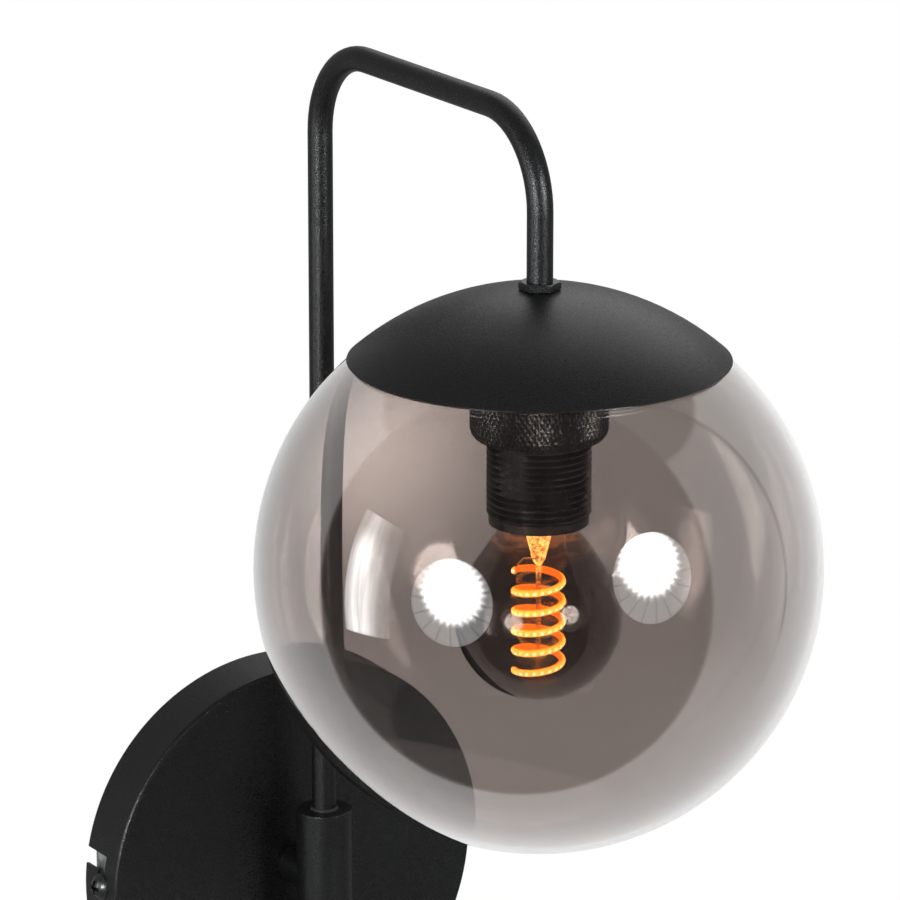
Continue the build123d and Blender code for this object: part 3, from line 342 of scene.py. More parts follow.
def coated_metal(name, colour, roughness, specular, pebbles, depth):
    """Powder coat: a fine pebbled skin, a little uneven in tone and gloss."""
    shader = Shader.material(name)
    pebble = shader.ramp(shader.noise(pebbles, 1.0), 0.25, 0.75)
    cloud = shader.noise(COAT_CLOUDS, 3.0)
    tone = 0.65 * pebble + 0.35 * cloud
    return shader.output(shader.principled({
        "Base Color": shader.blend(tone, grey(colour, 0.4), grey(colour, 1.7)),
        "Roughness": roughness - 0.1 + 0.16 * pebble + 0.05 * cloud,
        "Specular IOR Level": specular,
        "Normal": shader.bump(pebble, depth),
    }))


def spangled_zinc(name, colour):
    """Galvanised sheet: flat crystals a few millimetres across, each with its own tone."""
    shader = Shader.material(name)
    cells = shader.node("ShaderNodeTexVoronoi", None, {"Vector": shader.place(), "Scale": ZINC_CRYSTALS})
    crystal = shader.node("ShaderNodeSeparateColor", None, {0: cells.part("Color")})
    scuff = shader.noise(ZINC_SCUFFS, 4.0)
    return shader.output(shader.principled({
        "Base Color": shader.blend(crystal, grey(colour, 0.72), grey(colour, 1.12)),
        "Metallic": 1.0,
        "Roughness": 0.3 + 0.16 * crystal + 0.1 * scuff,
        "Normal": shader.bump(scuff, SKIN_DEPTH),
    }))


def drawn_metal(name, colour, roughness, stretch):
    """Turned, drawn or plated metal with fine lines along one direction."""
    shader = Shader.material(name)
    lines = shader.noise(1.0, 3.0, shader.stretched(stretch))
    stain = shader.noise(METAL_STAINS, 3.0)
    return shader.output(shader.principled({
        "Base Color": shader.blend(0.5 * lines + 0.5 * stain, grey(colour, 0.78), grey(colour, 1.1)),
        "Metallic": 1.0,
        "Roughness": roughness + 0.12 * lines + 0.08 * stain,
        "Normal": shader.bump(lines, LINE_DEPTH),
    }))


def moulded(name, colour, roughness, specular, depth=SKIN_DEPTH):
    """Moulded plastic or ceramic: an even skin with a faint flow pattern and fine texture."""
    shader = Shader.material(name)
    flow = shader.noise(MOULD_FLOW, 4.0)
    skin = shader.noise(MOULD_SKIN, 2.0)
    return shader.output(shader.principled({
        "Base Color": shader.blend(0.7 * flow + 0.3 * skin, grey(colour, 0.8), grey(colour, 1.2)),
        "Roughness": roughness + 0.1 * flow + 0.06 * skin,
        "Specular IOR Level": specular,
        "Normal": shader.bump(skin, depth),
    }))


def insulation(name, first, second, choose):
    """Wire insulation in two colours; choose gives the share of the second at each place."""
    shader = Shader.material(name)
    bloom = shader.noise(WIRE_BLOOM, 3.0)
    colour = shader.blend(choose(shader), (*first, 1.0), (*second, 1.0))
    return shader.output(shader.principled({
        "Base Color": shader.blend(0.3 * bloom, colour, BLOOM_GREY),
        "Roughness": 0.35 + 0.2 * bloom,
        "Normal": shader.bump(bloom, SKIN_DEPTH),
    }))


def lamps_through(shader, glass, colour):
    """Let lamps shine through glass in a colour."""
    return shader.mix(shader.ray("Is Shadow Ray"), glass, shader.clear(colour))


def smoked_glass(name, tint, drift_scale, skin_ior, edge=0.0, lit=None):
    """Smoke-tinted blown glass with a bright skin: the tint drifts, and lamps shine through it."""
    shader = Shader.material(name)
    drift = shader.noise(drift_scale, 2.0)
    base = shader.blend(drift, grey(tint, 0.93), grey(tint, 1.07))
    facing = shader.node("ShaderNodeLayerWeight", None, {"Blend": 0.5}).part("Facing")
    glass = shader.principled({
        "Base Color": shader.blend(edge * facing, base, BLACK),
        "Roughness": 0.0,
        "IOR": GLASS_IOR,
        "Transmission Weight": 1.0,
        "Coat Weight": 1.0,
        "Coat Roughness": 0.0,
        "Coat IOR": skin_ior,
        # lit gives emission sockets, such as the painted glow on the bulb's neck
        **(lit(shader) if lit else {}),
    })
    return shader.output(lamps_through(shader, glass, grey([channel ** 0.5 for channel in tint], 1.0)))


def lit_strand(sizes):
    """The filament: a glowing strand with bright spots over its light sources."""
    shader = Shader.material("lit_strand")
    side, depth, height = shade_axis(shader)
    turn = shader.math("ARCTAN2", depth, side) / (2 * pi)
    foot = FILAMENT_LOW.z + sizes.strand
    rise = (height - foot) / sizes.pitch - turn + sizes.start / (2 * pi)
    below = rise.off_centre() * sizes.pitch + sizes.chip_drop
    off_chip = (turn * sizes.chips).off_centre() * (2 * pi * sizes.radius / sizes.chips)
    outward = (side * side + depth * depth) ** 0.5 - sizes.radius
    chip = 1 - shader.ramp((off_chip * off_chip + below * below) ** 0.5, 0.0, sizes.chip_size)
    cloud = shader.noise(STRAND_CLOUDS, 2.0)
    front = shader.ramp(outward / sizes.strand + 0.3 * cloud, -0.2, 0.9)
    strand = shader.blend(front, (*sizes.ember, 1.0), (*sizes.glow, 1.0))
    return shader.output(shader.principled({
        "Base Color": shader.blend(cloud, STRAND_DARK, STRAND_PALE),
        "Roughness": 0.35 + 0.2 * cloud,
        "Emission Color": shader.blend(chip * (outward > 0.0), strand, (*sizes.chip, 1.0)),
        "Emission Strength": sizes.strength,
    }))


def stem_glass(sizes):
    """Clear glass, crackled, with a painted glow where it holds the filament's upper end: emission that
    stands for the filament's light in the glass.
    """
    shader = Shader.material("stem_glass")
    height = shade_axis(shader)[2]
    ripple = shader.noise(STEM_RIPPLES, 3.0)
    crackle = shader.ramp(shader.noise(STEM_CRACKLE, 4.0), 0.46, 0.56)
    near_top = shader.ramp(height, FILAMENT_HIGH.z - 0.006, FILAMENT_HIGH.z + 0.003)
    glass = shader.principled({
        "Base Color": shader.blend(ripple, STEM_DULL, STEM_CLEAR),
        "Roughness": 0.02,
        "IOR": GLASS_IOR,
        "Transmission Weight": 1.0,
        "Normal": shader.bump(ripple, RIPPLE_DEPTH),
        # Painted glow: emission near the filament's upper end, broken up by the crackle
        "Emission Color": shader.blend(near_top * (0.04 + 0.96 * crackle), STEM_DARK, STEM_PAINTED_GLOW),
        "Emission Strength": sizes.stem_strength,
    })
    return shader.output(lamps_through(shader, glass, STEM_SHADOW))


class LampFinishes(PropertyGroup):
    """Colours and levels of the lamp's finishes."""

    coat: FloatVectorProperty(
        name="Powder coat", description="Colour of the coated metal", subtype="COLOR",
        default=(0.0038, 0.0038, 0.004), min=0.0, max=1.0)
    coat_roughness: FloatProperty(
        name="Coat roughness", description="Mean roughness of the powder coat", subtype="FACTOR",
        default=0.31, min=0.0, max=1.0)
    steel_roughness: FloatProperty(
        name="Steel roughness", description="Mean roughness of the blackened nut and screws",
        subtype="FACTOR", default=0.27, min=0.0, max=1.0)
    smoke: FloatVectorProperty(
        name="Globe tint", description="What one wall of the globe lets through", subtype="COLOR",
        default=(0.492, 0.443, 0.42), min=0.0, max=1.0)
    bulb_smoke: FloatVectorProperty(
        name="Bulb tint", description="What one wall of the bulb lets through", subtype="COLOR",
        default=(0.47, 0.42, 0.4), min=0.0, max=1.0)
    bulb_edge: FloatProperty(
        name="Bulb edge", description="How much darker the bulb's tint is at its edge", subtype="FACTOR",
        default=0.55, min=0.0, max=1.0)
    plastic: FloatVectorProperty(
        name="Lampholder", description="Colour of the moulded lampholder", subtype="COLOR",
        default=(0.0035, 0.0034, 0.0032), min=0.0, max=1.0)
    # Painted glow on the bulb's neck: the filament's light reflected in the glass, painted as emission;
    # neck_strength sets its strength
    neck: FloatVectorProperty(
        name="Neck glow", description="Glow of the bulb's neck over the filament", subtype="COLOR",
        default=(1.0, 0.38, 0.17), min=0.0, max=1.0)
    neck_strength: FloatProperty(
        name="Neck strength", description="Emission of the bulb's lit neck", default=0.3, min=0.0)


class FilamentSizes(PropertyGroup):
    """Run and glow of the lit filament."""

    radius: FloatProperty(
        name="Coil radius", description="From the bulb's axis to the middle of the strand",
        unit="LENGTH", default=0.0091)
    strand: FloatProperty(
        name="Strand", description="Radius of the strand", unit="LENGTH", default=0.0013)
    pitch: FloatProperty(
        name="Pitch", description="Rise of the coil in one turn", unit="LENGTH", default=0.0079)
    start: FloatProperty(
        name="Start", description="Angle of the strand's lower end", subtype="ANGLE",
        default=radians(148.0))
    chips: IntProperty(
        name="Chips", description="Light sources in one turn of the strand", default=22, min=1)
    chip_size: FloatProperty(
        name="Chip size", description="Radius of the bright spot over a light source", unit="LENGTH",
        default=0.0011)
    chip_drop: FloatProperty(
        name="Chip drop", description="From the strand's middle line down to its light sources",
        unit="LENGTH", default=0.00015)
    ember: FloatVectorProperty(
        name="Ember", description="Glow of the strand's shaded side", subtype="COLOR",
        default=(0.6, 0.1, 0.006), min=0.0, max=1.0)
    glow: FloatVectorProperty(
        name="Glow", description="Glow of the strand's outer side", subtype="COLOR",
        default=(1.0, 0.4, 0.035), min=0.0, max=1.0)
    chip: FloatVectorProperty(
        name="Chip glow", description="Glow over the light sources", subtype="COLOR",
        default=(1.0, 0.93, 0.55), min=0.0, max=1.0)
    strength: FloatProperty(
        name="Strength", description="Emission of the lit strand", default=12.0, min=0.0)
    # Strength of the stem's painted glow
    stem_strength: FloatProperty(
        name="Stem strength", description="Emission of the crackled stem that the strand lights",
        default=8.0, min=0.0)


class RingSizes(PropertyGroup):
    """Sizes of the diamond knurl round the shade ring."""

    sectors: IntProperty(
        name="Sectors", description="Equal lengths that the knurl is made in", default=4, min=1)
    diamonds: IntProperty(
        name="Diamonds", description="Diamonds side by side in one sector", default=19, min=1)
    diamond_height: FloatProperty(
        name="Diamond height", description="Height of one diamond", unit="LENGTH", default=0.0033)
    diamond_rise: FloatProperty(
        name="Diamond rise", description="How far a diamond's point stands out", unit="LENGTH",
        default=0.0005)
    sunk: FloatProperty(
        name="Sunk", description="How deep the back of the knurl lies in the ring", unit="LENGTH",
        default=0.0008)
    margin: FloatProperty(
        name="Margin", description="Plain edge above the knurl", unit="LENGTH", default=0.0006)
    foot_radius: FloatProperty(
        name="Foot radius", description="Radius of the ring's rounded foot", unit="LENGTH",
        default=0.0048)
    foot_angle: FloatProperty(
        name="Foot angle", description="How far the knurl goes round the foot", subtype="ANGLE",
        default=radians(58.0))


class StudioSettings(PropertyGroup):
    """Camera and light of the studio."""

    azimuth: FloatProperty(
        name="Azimuth", description="Camera's angle round the lamp", subtype="ANGLE",
        default=radians(-32.02))
    elevation: FloatProperty(
        name="Elevation", description="Camera's angle above the horizon", subtype="ANGLE",
        default=radians(16.22))
    distance: FloatProperty(
        name="Distance", description="From the camera to its target", unit="LENGTH", default=2.27927)
    target: FloatVectorProperty(
        name="Target", description="Middle of the picture", subtype="TRANSLATION",
        default=(0.02828, -0.1, 0.19211))
    lens: FloatProperty(name="Lens", description="Focal length in millimetres", default=230.25)
    floor_drop: FloatProperty(
        name="Floor drop", description="From the lamp's lowest point to the floor", unit="LENGTH",
        default=0.34)
    fill: FloatProperty(name="Fill", description="Strength of the light from all round", default=0.28)
    dusk: FloatProperty(
        name="Dusk", description="How bright mirrors see the camera's side of the studio", default=0.03)
    floor_dusk: FloatProperty(
        name="Floor dusk", description="How much brighter mirrors see the floor on the camera's side",
        default=0.1)
    sweep_turn: FloatProperty(
        name="Sweep turn", description="How far the white sweep is turned from square to the camera",
        subtype="ANGLE", default=radians(13.0))
    bright_turn: FloatProperty(
        name="Bright turn", description="From behind the lamp to the brightest part of the sweep",
        subtype="ANGLE", default=radians(41.0))
    sweep_top: FloatProperty(
        name="Sweep top", default=0.64,
        description="Height of the sweep's upper edge in a mirror, as the sine of its angle")
    fold: FloatVectorProperty(
        name="Fold", subtype="XYZ", default=(0.0882, -0.9961, -0.0097),
        description="Across the sweep's upright fold, square to the line in which it is seen")
    fold_shift: FloatProperty(
        name="Fold shift", description="How far the fold is seen off the plane through the globe",
        default=0.2)
    paper: FloatProperty(
        name="Paper", description="How bright mirrors see the dimmer part of the sweep", default=0.7)
    left_place: FloatVectorProperty(
        name="Left umbrella", description="From the globe's middle to the left umbrella",
        subtype="TRANSLATION", default=(-1.469, -0.64, 0.045))
    left_rise: FloatProperty(
        name="Left burst", default=0.25,
        description="How far up the left umbrella its burst is, with its radius as 1")
    right_place: FloatVectorProperty(
        name="Right umbrella", description="From the globe's middle to the right umbrella",
        subtype="TRANSLATION", default=(0.345, -1.535, 0.25))
    right_rise: FloatProperty(
        name="Right burst", default=0.35,
        description="How far up the right umbrella its burst is, with its radius as 1")
    umbrella_size: FloatProperty(
        name="Umbrella size", description="Width of each umbrella", unit="LENGTH", default=0.93)
    umbrella_power: FloatProperty(
        name="Umbrella power", description="Power of each umbrella lamp", unit="POWER", default=26.0)
    strip_place: FloatVectorProperty(
        name="Strip", description="From the globe's middle to the upright lamp on the left",
        subtype="TRANSLATION", default=(-1.645, 0.37, 0.1))
    strip_size: FloatVectorProperty(
        name="Strip size", description="Width and height of the upright lamp", size=2, unit="LENGTH",
        default=(0.66, 1.17))
    strip_power: FloatProperty(
        name="Strip power", description="Power of the upright lamp on the left", unit="POWER",
        default=9.0)
    top_place: FloatVectorProperty(
        name="Top lamp", description="From the globe's middle to the lamp above and behind",
        subtype="TRANSLATION", default=(0.848, 0.79, 1.05))
    top_size: FloatProperty(
        name="Top size", description="Width of the lamp above and behind", unit="LENGTH", default=1.5)
    top_power: FloatProperty(
        name="Top power", description="Power of the lamp above and behind", unit="POWER", default=5.5)
    backdrop_place: FloatVectorProperty(
        name="Backdrop lamp", description="From the globe's middle to the lamp on the backdrop",
        subtype="TRANSLATION", default=(0.436, 0.88, -0.22))
    backdrop_size: FloatProperty(
        name="Backdrop size", description="Width of the lamp on the backdrop", unit="LENGTH",
        default=0.222)
    backdrop_power: FloatProperty(
        name="Backdrop power", description="Power of the lamp that brightens the backdrop", unit="POWER",
        default=0.26)


class LAMP_OT_powder_coat(Operator):
    """Coat the wall plate, sleeve, arm and cap, and blacken the nut and side screws."""

    bl_idname = "wall_lamp.powder_coat"
    bl_label = "Powder coat"

    def execute(self, context):
        finishes = context.scene.lamp_finishes
        coat = coated_metal(
            "powder_coat", finishes.coat, finishes.coat_roughness, 0.34, COAT_PEBBLES, COAT_DEPTH)
        finish_slot("powder_black", coat)
        hardware = coated_metal(
            "blackened_steel", finishes.coat, finishes.steel_roughness, 0.8, STEEL_PEBBLES, FINE_DEPTH)
        finish(("cap_nut", "side_screws"), hardware)
        return {"FINISHED"}


class LAMP_OT_bare_metal(Operator):
    """Finish the galvanised, plated, spring and brass parts."""

    bl_idname = "wall_lamp.bare_metal"
    bl_label = "Bare metal"

    def execute(self, context):
        finish_slot("galvanised_steel", spangled_zinc("galvanised_zinc", ZINC))
        steel = drawn_metal("rolled_spring_steel", SPRING_STEEL, 0.25, (60.0, 60.0, 2500.0))
        finish_slot("spring_steel", steel)
        nickel = drawn_metal("nickel_plate", NICKEL, 0.18, (40.0, 40.0, 3200.0))
        finish_slot("nickel_plate", nickel)
        brass = drawn_metal("turned_brass", BRASS, 0.2, (2600.0, 60.0, 2600.0))
        finish_slot("brass", brass)
        return {"FINISHED"}


class LAMP_OT_moulded_parts(Operator):
    """Finish the lampholder, the bushes, the terminal blocks and the driver."""

    bl_idname = "wall_lamp.moulded_parts"
    bl_label = "Moulded parts"

    def execute(self, context):
        plastic = context.scene.lamp_finishes.plastic
        finish_slot("holder_black", moulded("lampholder_black", plastic, 0.2, 0.7))
        finish(("shade_ring",), moulded("ring_black", plastic, 0.3, 0.12))
        finish_slot("nylon_black", moulded("bush_nylon", NYLON, 0.45, 0.4))
        finish_slot("terminal_white", moulded("terminal_ivory", IVORY, 0.4, 0.45))
        finish_slot("black_vitrite", moulded("fused_insulator", VITRITE, 0.08, 0.6, FINE_DEPTH))
        finish_slot("circuit_board", moulded("driver_board", BOARD_GREEN, 0.35, 0.5, BOARD_DEPTH))
        return {"FINISHED"}


class LAMP_OT_wiring(Operator):
    """Finish the cables and the wires in their own colours."""

    bl_idname = "wall_lamp.wiring"
    bl_label = "Wiring"

    def execute(self, context):
        def other_pole(shader):
            across, forward, height = shader.split(shader.place())
            behind_plate = forward > SHADE_Y / 2
            return behind_plate * (height > 0.0) + (1 - behind_plate) * (across > SHADE_X)

        def stripe(shader):
            across, _, height = shader.split(shader.place())
            return shader.math("SINE", height * 900.0 + across * 420.0) > 0.1

        finish_slot("cable_black", moulded("cable_sheath", SHEATH, 0.42, 0.35, SHEATH_DEPTH))
        finish_slot("wire_brown", insulation("pole_wires", BROWN, BLUE, other_pole))
        finish_slot("wire_earth", insulation("earth_wire", GREEN, YELLOW, stripe))
        return {"FINISHED"}


class LAMP_OT_smoked_glass(Operator):
    """Finish the globe and the bulb in smoked glass, with a painted glow on the bulb's neck."""

    bl_idname = "wall_lamp.smoked_glass"
    bl_label = "Smoked glass"

    def execute(self, context):
        finishes = context.scene.lamp_finishes

        # Painted reflection of the filament's light on the bulb's neck: patchy emission that is
        # brightest at the lampholder's lip and fades out below it
        def lit_neck(shader):
            height = shade_axis(shader)[2]
            patches = shader.noise(1.0, 2.0, shader.stretched((70.0, 70.0, 330.0)))
            patchy = 0.3 + 0.7 * shader.ramp(patches, 0.48, 0.56)
            reach = shader.ramp(height, LIP_HEIGHT - 0.013, LIP_HEIGHT + 0.001) * patchy
            return {
                "Emission Color": shader.blend(reach, BLACK, (*finishes.neck, 1.0)),
                "Emission Strength": finishes.neck_strength,
            }

        globe = smoked_glass("globe_smoke", finishes.smoke, GLOBE_DRIFT, GLOBE_SKIN_IOR)
        finish_slot("smoked_glass", globe)
        bulb = smoked_glass(
            "bulb_smoke", finishes.bulb_smoke, BULB_DRIFT, BULB_SKIN_IOR, finishes.bulb_edge, lit_neck)
        finish_slot("bulb_smoke", bulb)
        return {"FINISHED"}


class LAMP_OT_lit_filament(Operator):
    """Light the filament and finish the glass stem that carries it, with a painted glow in the stem."""

    bl_idname = "wall_lamp.lit_filament"
    bl_label = "Lit filament"

    def execute(self, context):
        sizes = context.scene.filament_sizes
        finish_slot("lit_filament", lit_strand(sizes))
        finish_slot("clear_glass", stem_glass(sizes))
        return {"FINISHED"}


def knurled_strip(sizes, width, low, high):
    """A flat strip of four-sided points: x along the strip, y up it, z out of it."""
    strip = bmesh.new()
    diamond_width = width / sizes.diamonds
    count = int((sizes.diamonds + (high - low) / sizes.diamond_height) / 2) + 2
    bmesh.ops.create_grid(strip, x_segments=2 * count, y_segments=2 * count, size=float(count))
    points = bmesh.ops.poke(strip, faces=strip.faces)["verts"]
    bmesh.ops.translate(strip, vec=(0, 0, sizes.diamond_rise), verts=points)
    bmesh.ops.rotate(strip, cent=(0, 0, 0), matrix=Matrix.Rotation(pi / 4, 3, "Z"), verts=strip.verts)
    diagonal = 2 ** 0.5
    bmesh.ops.scale(
        strip, vec=(diamond_width / diagonal, sizes.diamond_height / diagonal, 1.0), verts=strip.verts)
    bmesh.ops.translate(strip, vec=(0, (low + high) / 2, 0), verts=strip.verts)
    sides = (
        ((width / 2, 0, 0), (1, 0, 0)),
        ((-width / 2, 0, 0), (-1, 0, 0)),
        ((0, high, 0), (0, 1, 0)),
        ((0, low, 0), (0, -1, 0)),
    )
    for point, outward in sides:
        everything = strip.verts[:] + strip.edges[:] + strip.faces[:]
        bmesh.ops.bisect_plane(
            strip, geom=everything, dist=CUT_TOLERANCE, plane_co=point, plane_no=outward,
            clear_outer=True)
    return strip


class LAMP_OT_ring_knurl(Operator):
    """Put the diamond knurl round the shade ring."""

    bl_idname = "wall_lamp.ring_knurl"
    bl_label = "Ring knurl"

    def execute(self, context):
        sizes = context.scene.ring_sizes
        radius = RING_RADIUS + KNURL_CLEARANCE
        foot_top = RING_LOW.z + sizes.foot_radius
        low = foot_top - sizes.foot_radius * sizes.foot_angle
        high = RING_HIGH.z - sizes.margin
        sector = 2 * pi / sizes.sectors

        def wrapped(turn, across, up, out):
            angle = turn * sector + across / radius
            bend = max(foot_top - up, 0.0) / sizes.foot_radius
            reach = radius - sizes.foot_radius + (sizes.foot_radius + out) * cos(bend)
            height = max(up, foot_top) - (sizes.foot_radius + out) * sin(bend)
            return (SHADE_X + reach * cos(angle), SHADE_Y + reach * sin(angle), height)

        strip = knurled_strip(sizes, radius * sector, low, high)
        flat = [tuple(vert.co) for vert in strip.verts]
        band = bmesh.new()
        part = bpy.data.meshes.new("sector")
        for turn in range(sizes.sectors):
            for vert, place in zip(strip.verts, flat):
                vert.co = wrapped(turn, *place)
            strip.to_mesh(part)
            band.from_mesh(part)
        strip.free()
        bpy.data.meshes.remove(part)
        bmesh.ops.remove_doubles(band, verts=band.verts, dist=WELD_DISTANCE)
        rim = [edge for edge in band.edges if edge.is_boundary]
        skirt = bmesh.ops.extrude_edge_only(band, edges=rim)["geom"]
        inner = radius - sizes.foot_radius * (1 - cos(sizes.foot_angle)) - sizes.sunk
        for vert in (item for item in skirt if isinstance(item, bmesh.types.BMVert)):
            out = Vector((vert.co.x - SHADE_X, vert.co.y - SHADE_Y, 0.0)).normalized()
            vert.co = (SHADE_X + inner * out.x, SHADE_Y + inner * out.y, vert.co.z)
        back = [edge for edge in band.edges if edge.is_boundary]
        bmesh.ops.bridge_loops(band, edges=back)
        bmesh.ops.recalc_face_normals(band, faces=band.faces)
        if any(not edge.is_manifold for edge in band.edges):
            raise RuntimeError("the knurl is not closed")
        mesh = bpy.data.meshes.new("ring_knurl")
        band.to_mesh(mesh)
        band.free()
        knurl = bpy.data.objects.new("ring_knurl", mesh)
        context.scene.collection.objects.link(knurl)
        plastic = context.scene.lamp_finishes.plastic
        mesh.materials.append(moulded("knurl_black", plastic, 0.235, 0.48, FINE_DEPTH))
        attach(knurl, "arm")
        return {"FINISHED"}


def aim(thing, place, target):
    """Put a camera or lamp at a place and point it at a target."""
    thing.location = place
    thing.rotation_mode = "QUATERNION"
    thing.rotation_quaternion = (Vector(target) - Vector(place)).to_track_quat("-Z", "Y")


def area_lamp(name, way, size, power, target=GLOBE_MIDDLE, shape="DISK"):
    """A soft lamp off the globe's middle that the camera doesn't see."""
    lamp = bpy.data.lights.new(name, "AREA")
    lamp.shape = shape
    lamp.size, lamp.size_y = size
    lamp.energy = power
    thing = bpy.data.objects.new(name, lamp)
    bpy.context.scene.collection.objects.link(thing)
    thing.visible_camera = False
    aim(thing, GLOBE_MIDDLE + Vector(way), target)
    return thing


def lamp_face(shader, rise=0.0):
    """Place on a lamp's face, sideways and up from its bright spot, and the distance, from -1 to 1."""
    across, up, _ = shader.split(shader.node("ShaderNodeNewGeometry").part("Parametric"))
    across = 2 * across - 1
    up = 2 * up - 1 - rise
    return across, up, (across * across + up * up) ** 0.5


def bell(shader, value, sharpness):
    """1 where a value is zero, falling off on both sides."""
    return shader.math("EXPONENT", value * value * -sharpness)


def umbrella(thing, rise):
    """A white umbrella: a burst of light over its upper half and a dim cover with ribs round it."""
    shader = Shader(thing.data)
    across, up, reach = lamp_face(shader, rise)
    spoke = shader.node("ShaderNodeCombineXYZ", None, {0: across / reach, 1: up / reach})
    comb = 0.5 + 0.5 * shader.math("COSINE", shader.math("ARCTAN2", up, across) * BURST_RAYS)
    rays = comb * shader.noise(5.0, 2.0, spoke) + shader.noise(19.0, 2.0, spoke)
    core = (1 - shader.ramp(reach - RAY_REACH * rays, *BURST_EDGE)) ** 2
    hot = bell(shader, reach, HOT_SHARPNESS)
    across, up, _ = lamp_face(shader)
    ribs = shader.ramp(shader.math("COSINE", shader.math("ARCTAN2", up, across) * RIBS), *RIB_EDGE)
    inside_globe = shader.ray("Transmission Depth") > 1.5
    glint = 1 + GLINT_GAIN * shader.met("Glossy") * inside_globe
    level = core * (1 + HOT_GAIN * hot) * glint + (1 - core) * (COVER_LEVEL - RIB_SHADE * ribs)
    shader.output(shader.emission(level, UMBRELLA_WHITE))


def strip_box(thing):
    """An upright soft box, brightest over part of its width, with soft streaks up it."""
    shader = Shader(thing.data)
    across, up, _ = lamp_face(shader)
    lanes = shader.node("ShaderNodeCombineXYZ", None, {0: across * STREAKS_ACROSS, 1: up * STREAKS_UP})
    streaks = shader.ramp(shader.noise(1.0, 3.0, lanes), *STREAK_EDGE)
    shaded = STRIP_SHADE + (1 - STRIP_SHADE) * streaks
    bright = bell(shader, across - STRIP_PEAK, STRIP_SHARPNESS) * shaded
    ends = STRIP_SHADE + (1 - STRIP_SHADE) * shader.ramp(up, *STRIP_END)
    edges = shader.ramp(1 - abs(across), *STRIP_EDGE)
    shader.output(shader.emission(edges * ends * (STRIP_LEVEL + STRIP_GAIN * bright)))


def backdrop_glow(thing):
    """A glow on the backdrop that fades to its edge and shows only straight through glass."""
    thing.visible_diffuse = False
    thing.visible_glossy = False
    shader = Shader(thing.data)
    reach = lamp_face(shader)[2]
    straight = (1 - shader.met("Glossy")) * (1 - shader.met("Diffuse"))
    shader.output(shader.emission((1 - shader.ramp(reach, 0.0, 1.0)) * straight))


def turned(angle):
    """A level direction, turned from straight at the wall."""
    return (-sin(angle), cos(angle), 0.0)


def studio_world(studio):
    """White straight on and through glass; mirrors see a sweep behind the lamp and dusk before it."""
    world = bpy.data.worlds.new("studio")
    bpy.context.scene.world = world
    shader = Shader(world)
    mirror = shader.met("Glossy")
    sharp = 1 - shader.met("Diffuse")
    straight = shader.ray("Is Transmission Ray") * (1 - mirror) * sharp
    seen = shader.math("MAXIMUM", shader.ray("Is Camera Ray"), straight)
    mirrored = shader.ray("Is Singular Ray") * mirror * sharp

    way = shader.node("ShaderNodeTexCoord").part("Generated")
    up = shader.along(way, (0, 0, 1))
    away = shader.along(way, turned(studio.azimuth))
    behind = shader.along(way, turned(studio.azimuth - studio.sweep_turn))
    to_right = shader.along(way, turned(studio.azimuth - pi / 2))
    to_bright = shader.along(way, turned(studio.azimuth - studio.bright_turn))
    off_fold = shader.along(way, studio.fold) - studio.fold_shift

    sweep = shader.ramp(behind - SWEEP_LEAN * shader.math("MAXIMUM", up, 0.0), *SWEEP_SIDE)
    over = shader.ramp(up + SWEEP_LEAN * away, studio.sweep_top, studio.sweep_top + SWEEP_TOP_FADE)
    sweep = sweep * (1 - TOP_SHADE * over)
    below = shader.ramp(up, *FLOOR_FADE)
    bright = shader.ramp(to_bright, *BRIGHT_FADE)
    right = shader.ramp(to_right, *RIGHT_FADE)
    crease = right * shader.ramp(up, *CREASE_FOOT) * (1 - shader.ramp(abs(off_fold), *CREASE_EDGE))
    beyond = right * shader.ramp(off_fold, *BEYOND_FADE)

    full = shader.math("MAXIMUM", shader.math("MAXIMUM", below, bright), beyond)
    white = (studio.paper + (1 - studio.paper) * full) * (1 - CREASE_SHADE * crease)
    dusk = studio.dusk + studio.floor_dusk * below
    reflected = dusk + (white - dusk) * sweep
    level = seen + (1 - seen) * (mirrored * reflected + (1 - mirrored) * studio.fill)
    shader.output(shader.node("ShaderNodeBackground", None, {"Color": WHITE, "Strength": level}))


def studio_floor(studio):
    """A pale floor that keeps shadows and stays out of mirrors."""
    disc = bmesh.new()
    bmesh.ops.create_circle(disc, cap_ends=True, segments=64, radius=FLOOR_RADIUS)
    bmesh.ops.translate(disc, vec=(0, 0, CAD_BOX[0].z - studio.floor_drop), verts=disc.verts)
    mesh = bpy.data.meshes.new("floor")
    disc.to_mesh(mesh)
    disc.free()
    thing = bpy.data.objects.new("floor", mesh)
    bpy.context.scene.collection.objects.link(thing)
    thing.visible_glossy = False
    shader = Shader.material("pale_floor")
    pale = shader.blend(shader.noise(FLOOR_CLOUDS, 2.0), FLOOR_DULL, FLOOR_PALE)
    lit = shader.principled({"Base Color": pale, "Roughness": 0.8, "Specular IOR Level": 0.1})
    seen = shader.math("MAXIMUM", shader.ray("Is Camera Ray"), shader.ray("Is Transmission Ray"))
    surface = shader.mix(FLOOR_WHITE * seen, lit, shader.emission(1.0))
    mesh.materials.append(shader.output(shader.mix(shader.met("Glossy"), surface, shader.clear())))


def studio_camera(studio):
    """A long lens on the photograph's view of the lamp."""
    back = Vector((
        sin(studio.azimuth) * cos(studio.elevation),
        -cos(studio.azimuth) * cos(studio.elevation),
        sin(studio.elevation),
    ))
    target = Vector(studio.target)
    camera = bpy.data.cameras.new("camera")
    camera.lens = studio.lens
    camera.clip_end = 60.0
    thing = bpy.data.objects.new("camera", camera)
    scene = bpy.context.scene
    scene.collection.objects.link(thing)
    aim(thing, target + back * studio.distance, target)
    scene.camera = thing
    scene.view_settings.view_transform = "Standard"
    return thing


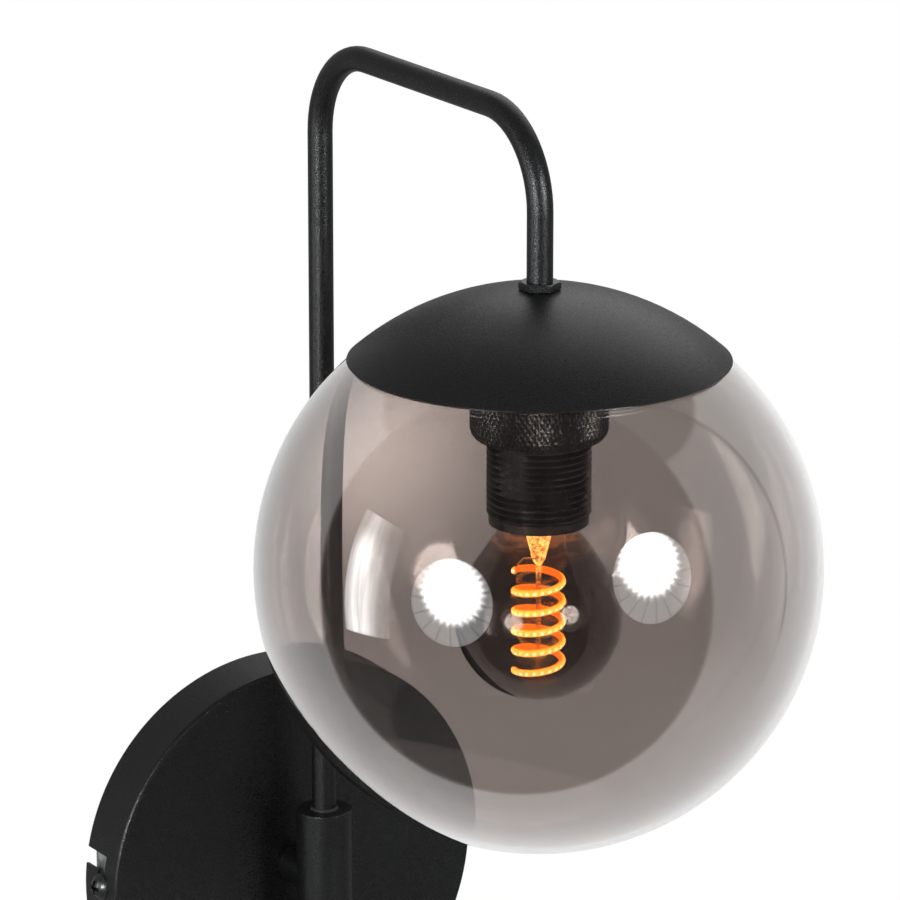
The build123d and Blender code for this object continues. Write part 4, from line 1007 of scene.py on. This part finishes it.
class LAMP_OT_studio(Operator):
    """Set up the camera, the world, the floor and the lamps."""

    bl_idname = "wall_lamp.studio"
    bl_label = "Studio"

    def execute(self, context):
        studio = context.scene.studio_settings
        camera = studio_camera(studio)
        studio_world(studio)
        studio_floor(studio)
        wide = (studio.umbrella_size, studio.umbrella_size)
        power = studio.umbrella_power
        umbrella(area_lamp("umbrella_left", studio.left_place, wide, power), studio.left_rise)
        umbrella(area_lamp("umbrella_right", studio.right_place, wide, power), studio.right_rise)
        strip_box(area_lamp(
            "strip_left", studio.strip_place, studio.strip_size, studio.strip_power, shape="RECTANGLE"))
        area_lamp("overhead", studio.top_place, (studio.top_size, studio.top_size), studio.top_power)
        backdrop_glow(area_lamp(
            "backdrop", studio.backdrop_place, (studio.backdrop_size, studio.backdrop_size),
            studio.backdrop_power, target=camera.location))
        return {"FINISHED"}


class LAMP_PT_builder(Panel):
    """Lists what builds the lamp."""

    bl_label = "Wall lamp"
    bl_idname = "LAMP_PT_builder"
    bl_space_type = "VIEW_3D"
    bl_region_type = "UI"
    bl_category = "Wall lamp"

    def draw(self, context):
        for operator in OPERATORS:
            self.layout.operator(operator.bl_idname)
        for owner, group in GROUPS.items():
            for name in group.__annotations__:
                self.layout.prop(getattr(context.scene, owner), name)


OPERATORS = (
    LAMP_OT_powder_coat,
    LAMP_OT_bare_metal,
    LAMP_OT_moulded_parts,
    LAMP_OT_wiring,
    LAMP_OT_smoked_glass,
    LAMP_OT_lit_filament,
    LAMP_OT_ring_knurl,
    LAMP_OT_studio,
)
GROUPS = {
    "lamp_finishes": LampFinishes,
    "filament_sizes": FilamentSizes,
    "ring_sizes": RingSizes,
    "studio_settings": StudioSettings,
}


def register():
    for group in GROUPS.values():
        bpy.utils.register_class(group)
    for name, group in GROUPS.items():
        setattr(bpy.types.Scene, name, PointerProperty(type=group))
    for operator in OPERATORS:
        bpy.utils.register_class(operator)
    bpy.utils.register_class(LAMP_PT_builder)


def unregister():
    bpy.utils.unregister_class(LAMP_PT_builder)
    for operator in OPERATORS:
        bpy.utils.unregister_class(operator)
    for name, group in GROUPS.items():
        delattr(bpy.types.Scene, name)
        bpy.utils.unregister_class(group)


def main():
    register()
    bpy.ops.wall_lamp.powder_coat()
    bpy.ops.wall_lamp.bare_metal()
    bpy.ops.wall_lamp.moulded_parts()
    bpy.ops.wall_lamp.wiring()
    bpy.ops.wall_lamp.smoked_glass()
    bpy.ops.wall_lamp.lit_filament()
    bpy.ops.wall_lamp.ring_knurl()
    bpy.ops.wall_lamp.studio()


if __name__ == "__main__":
    main()
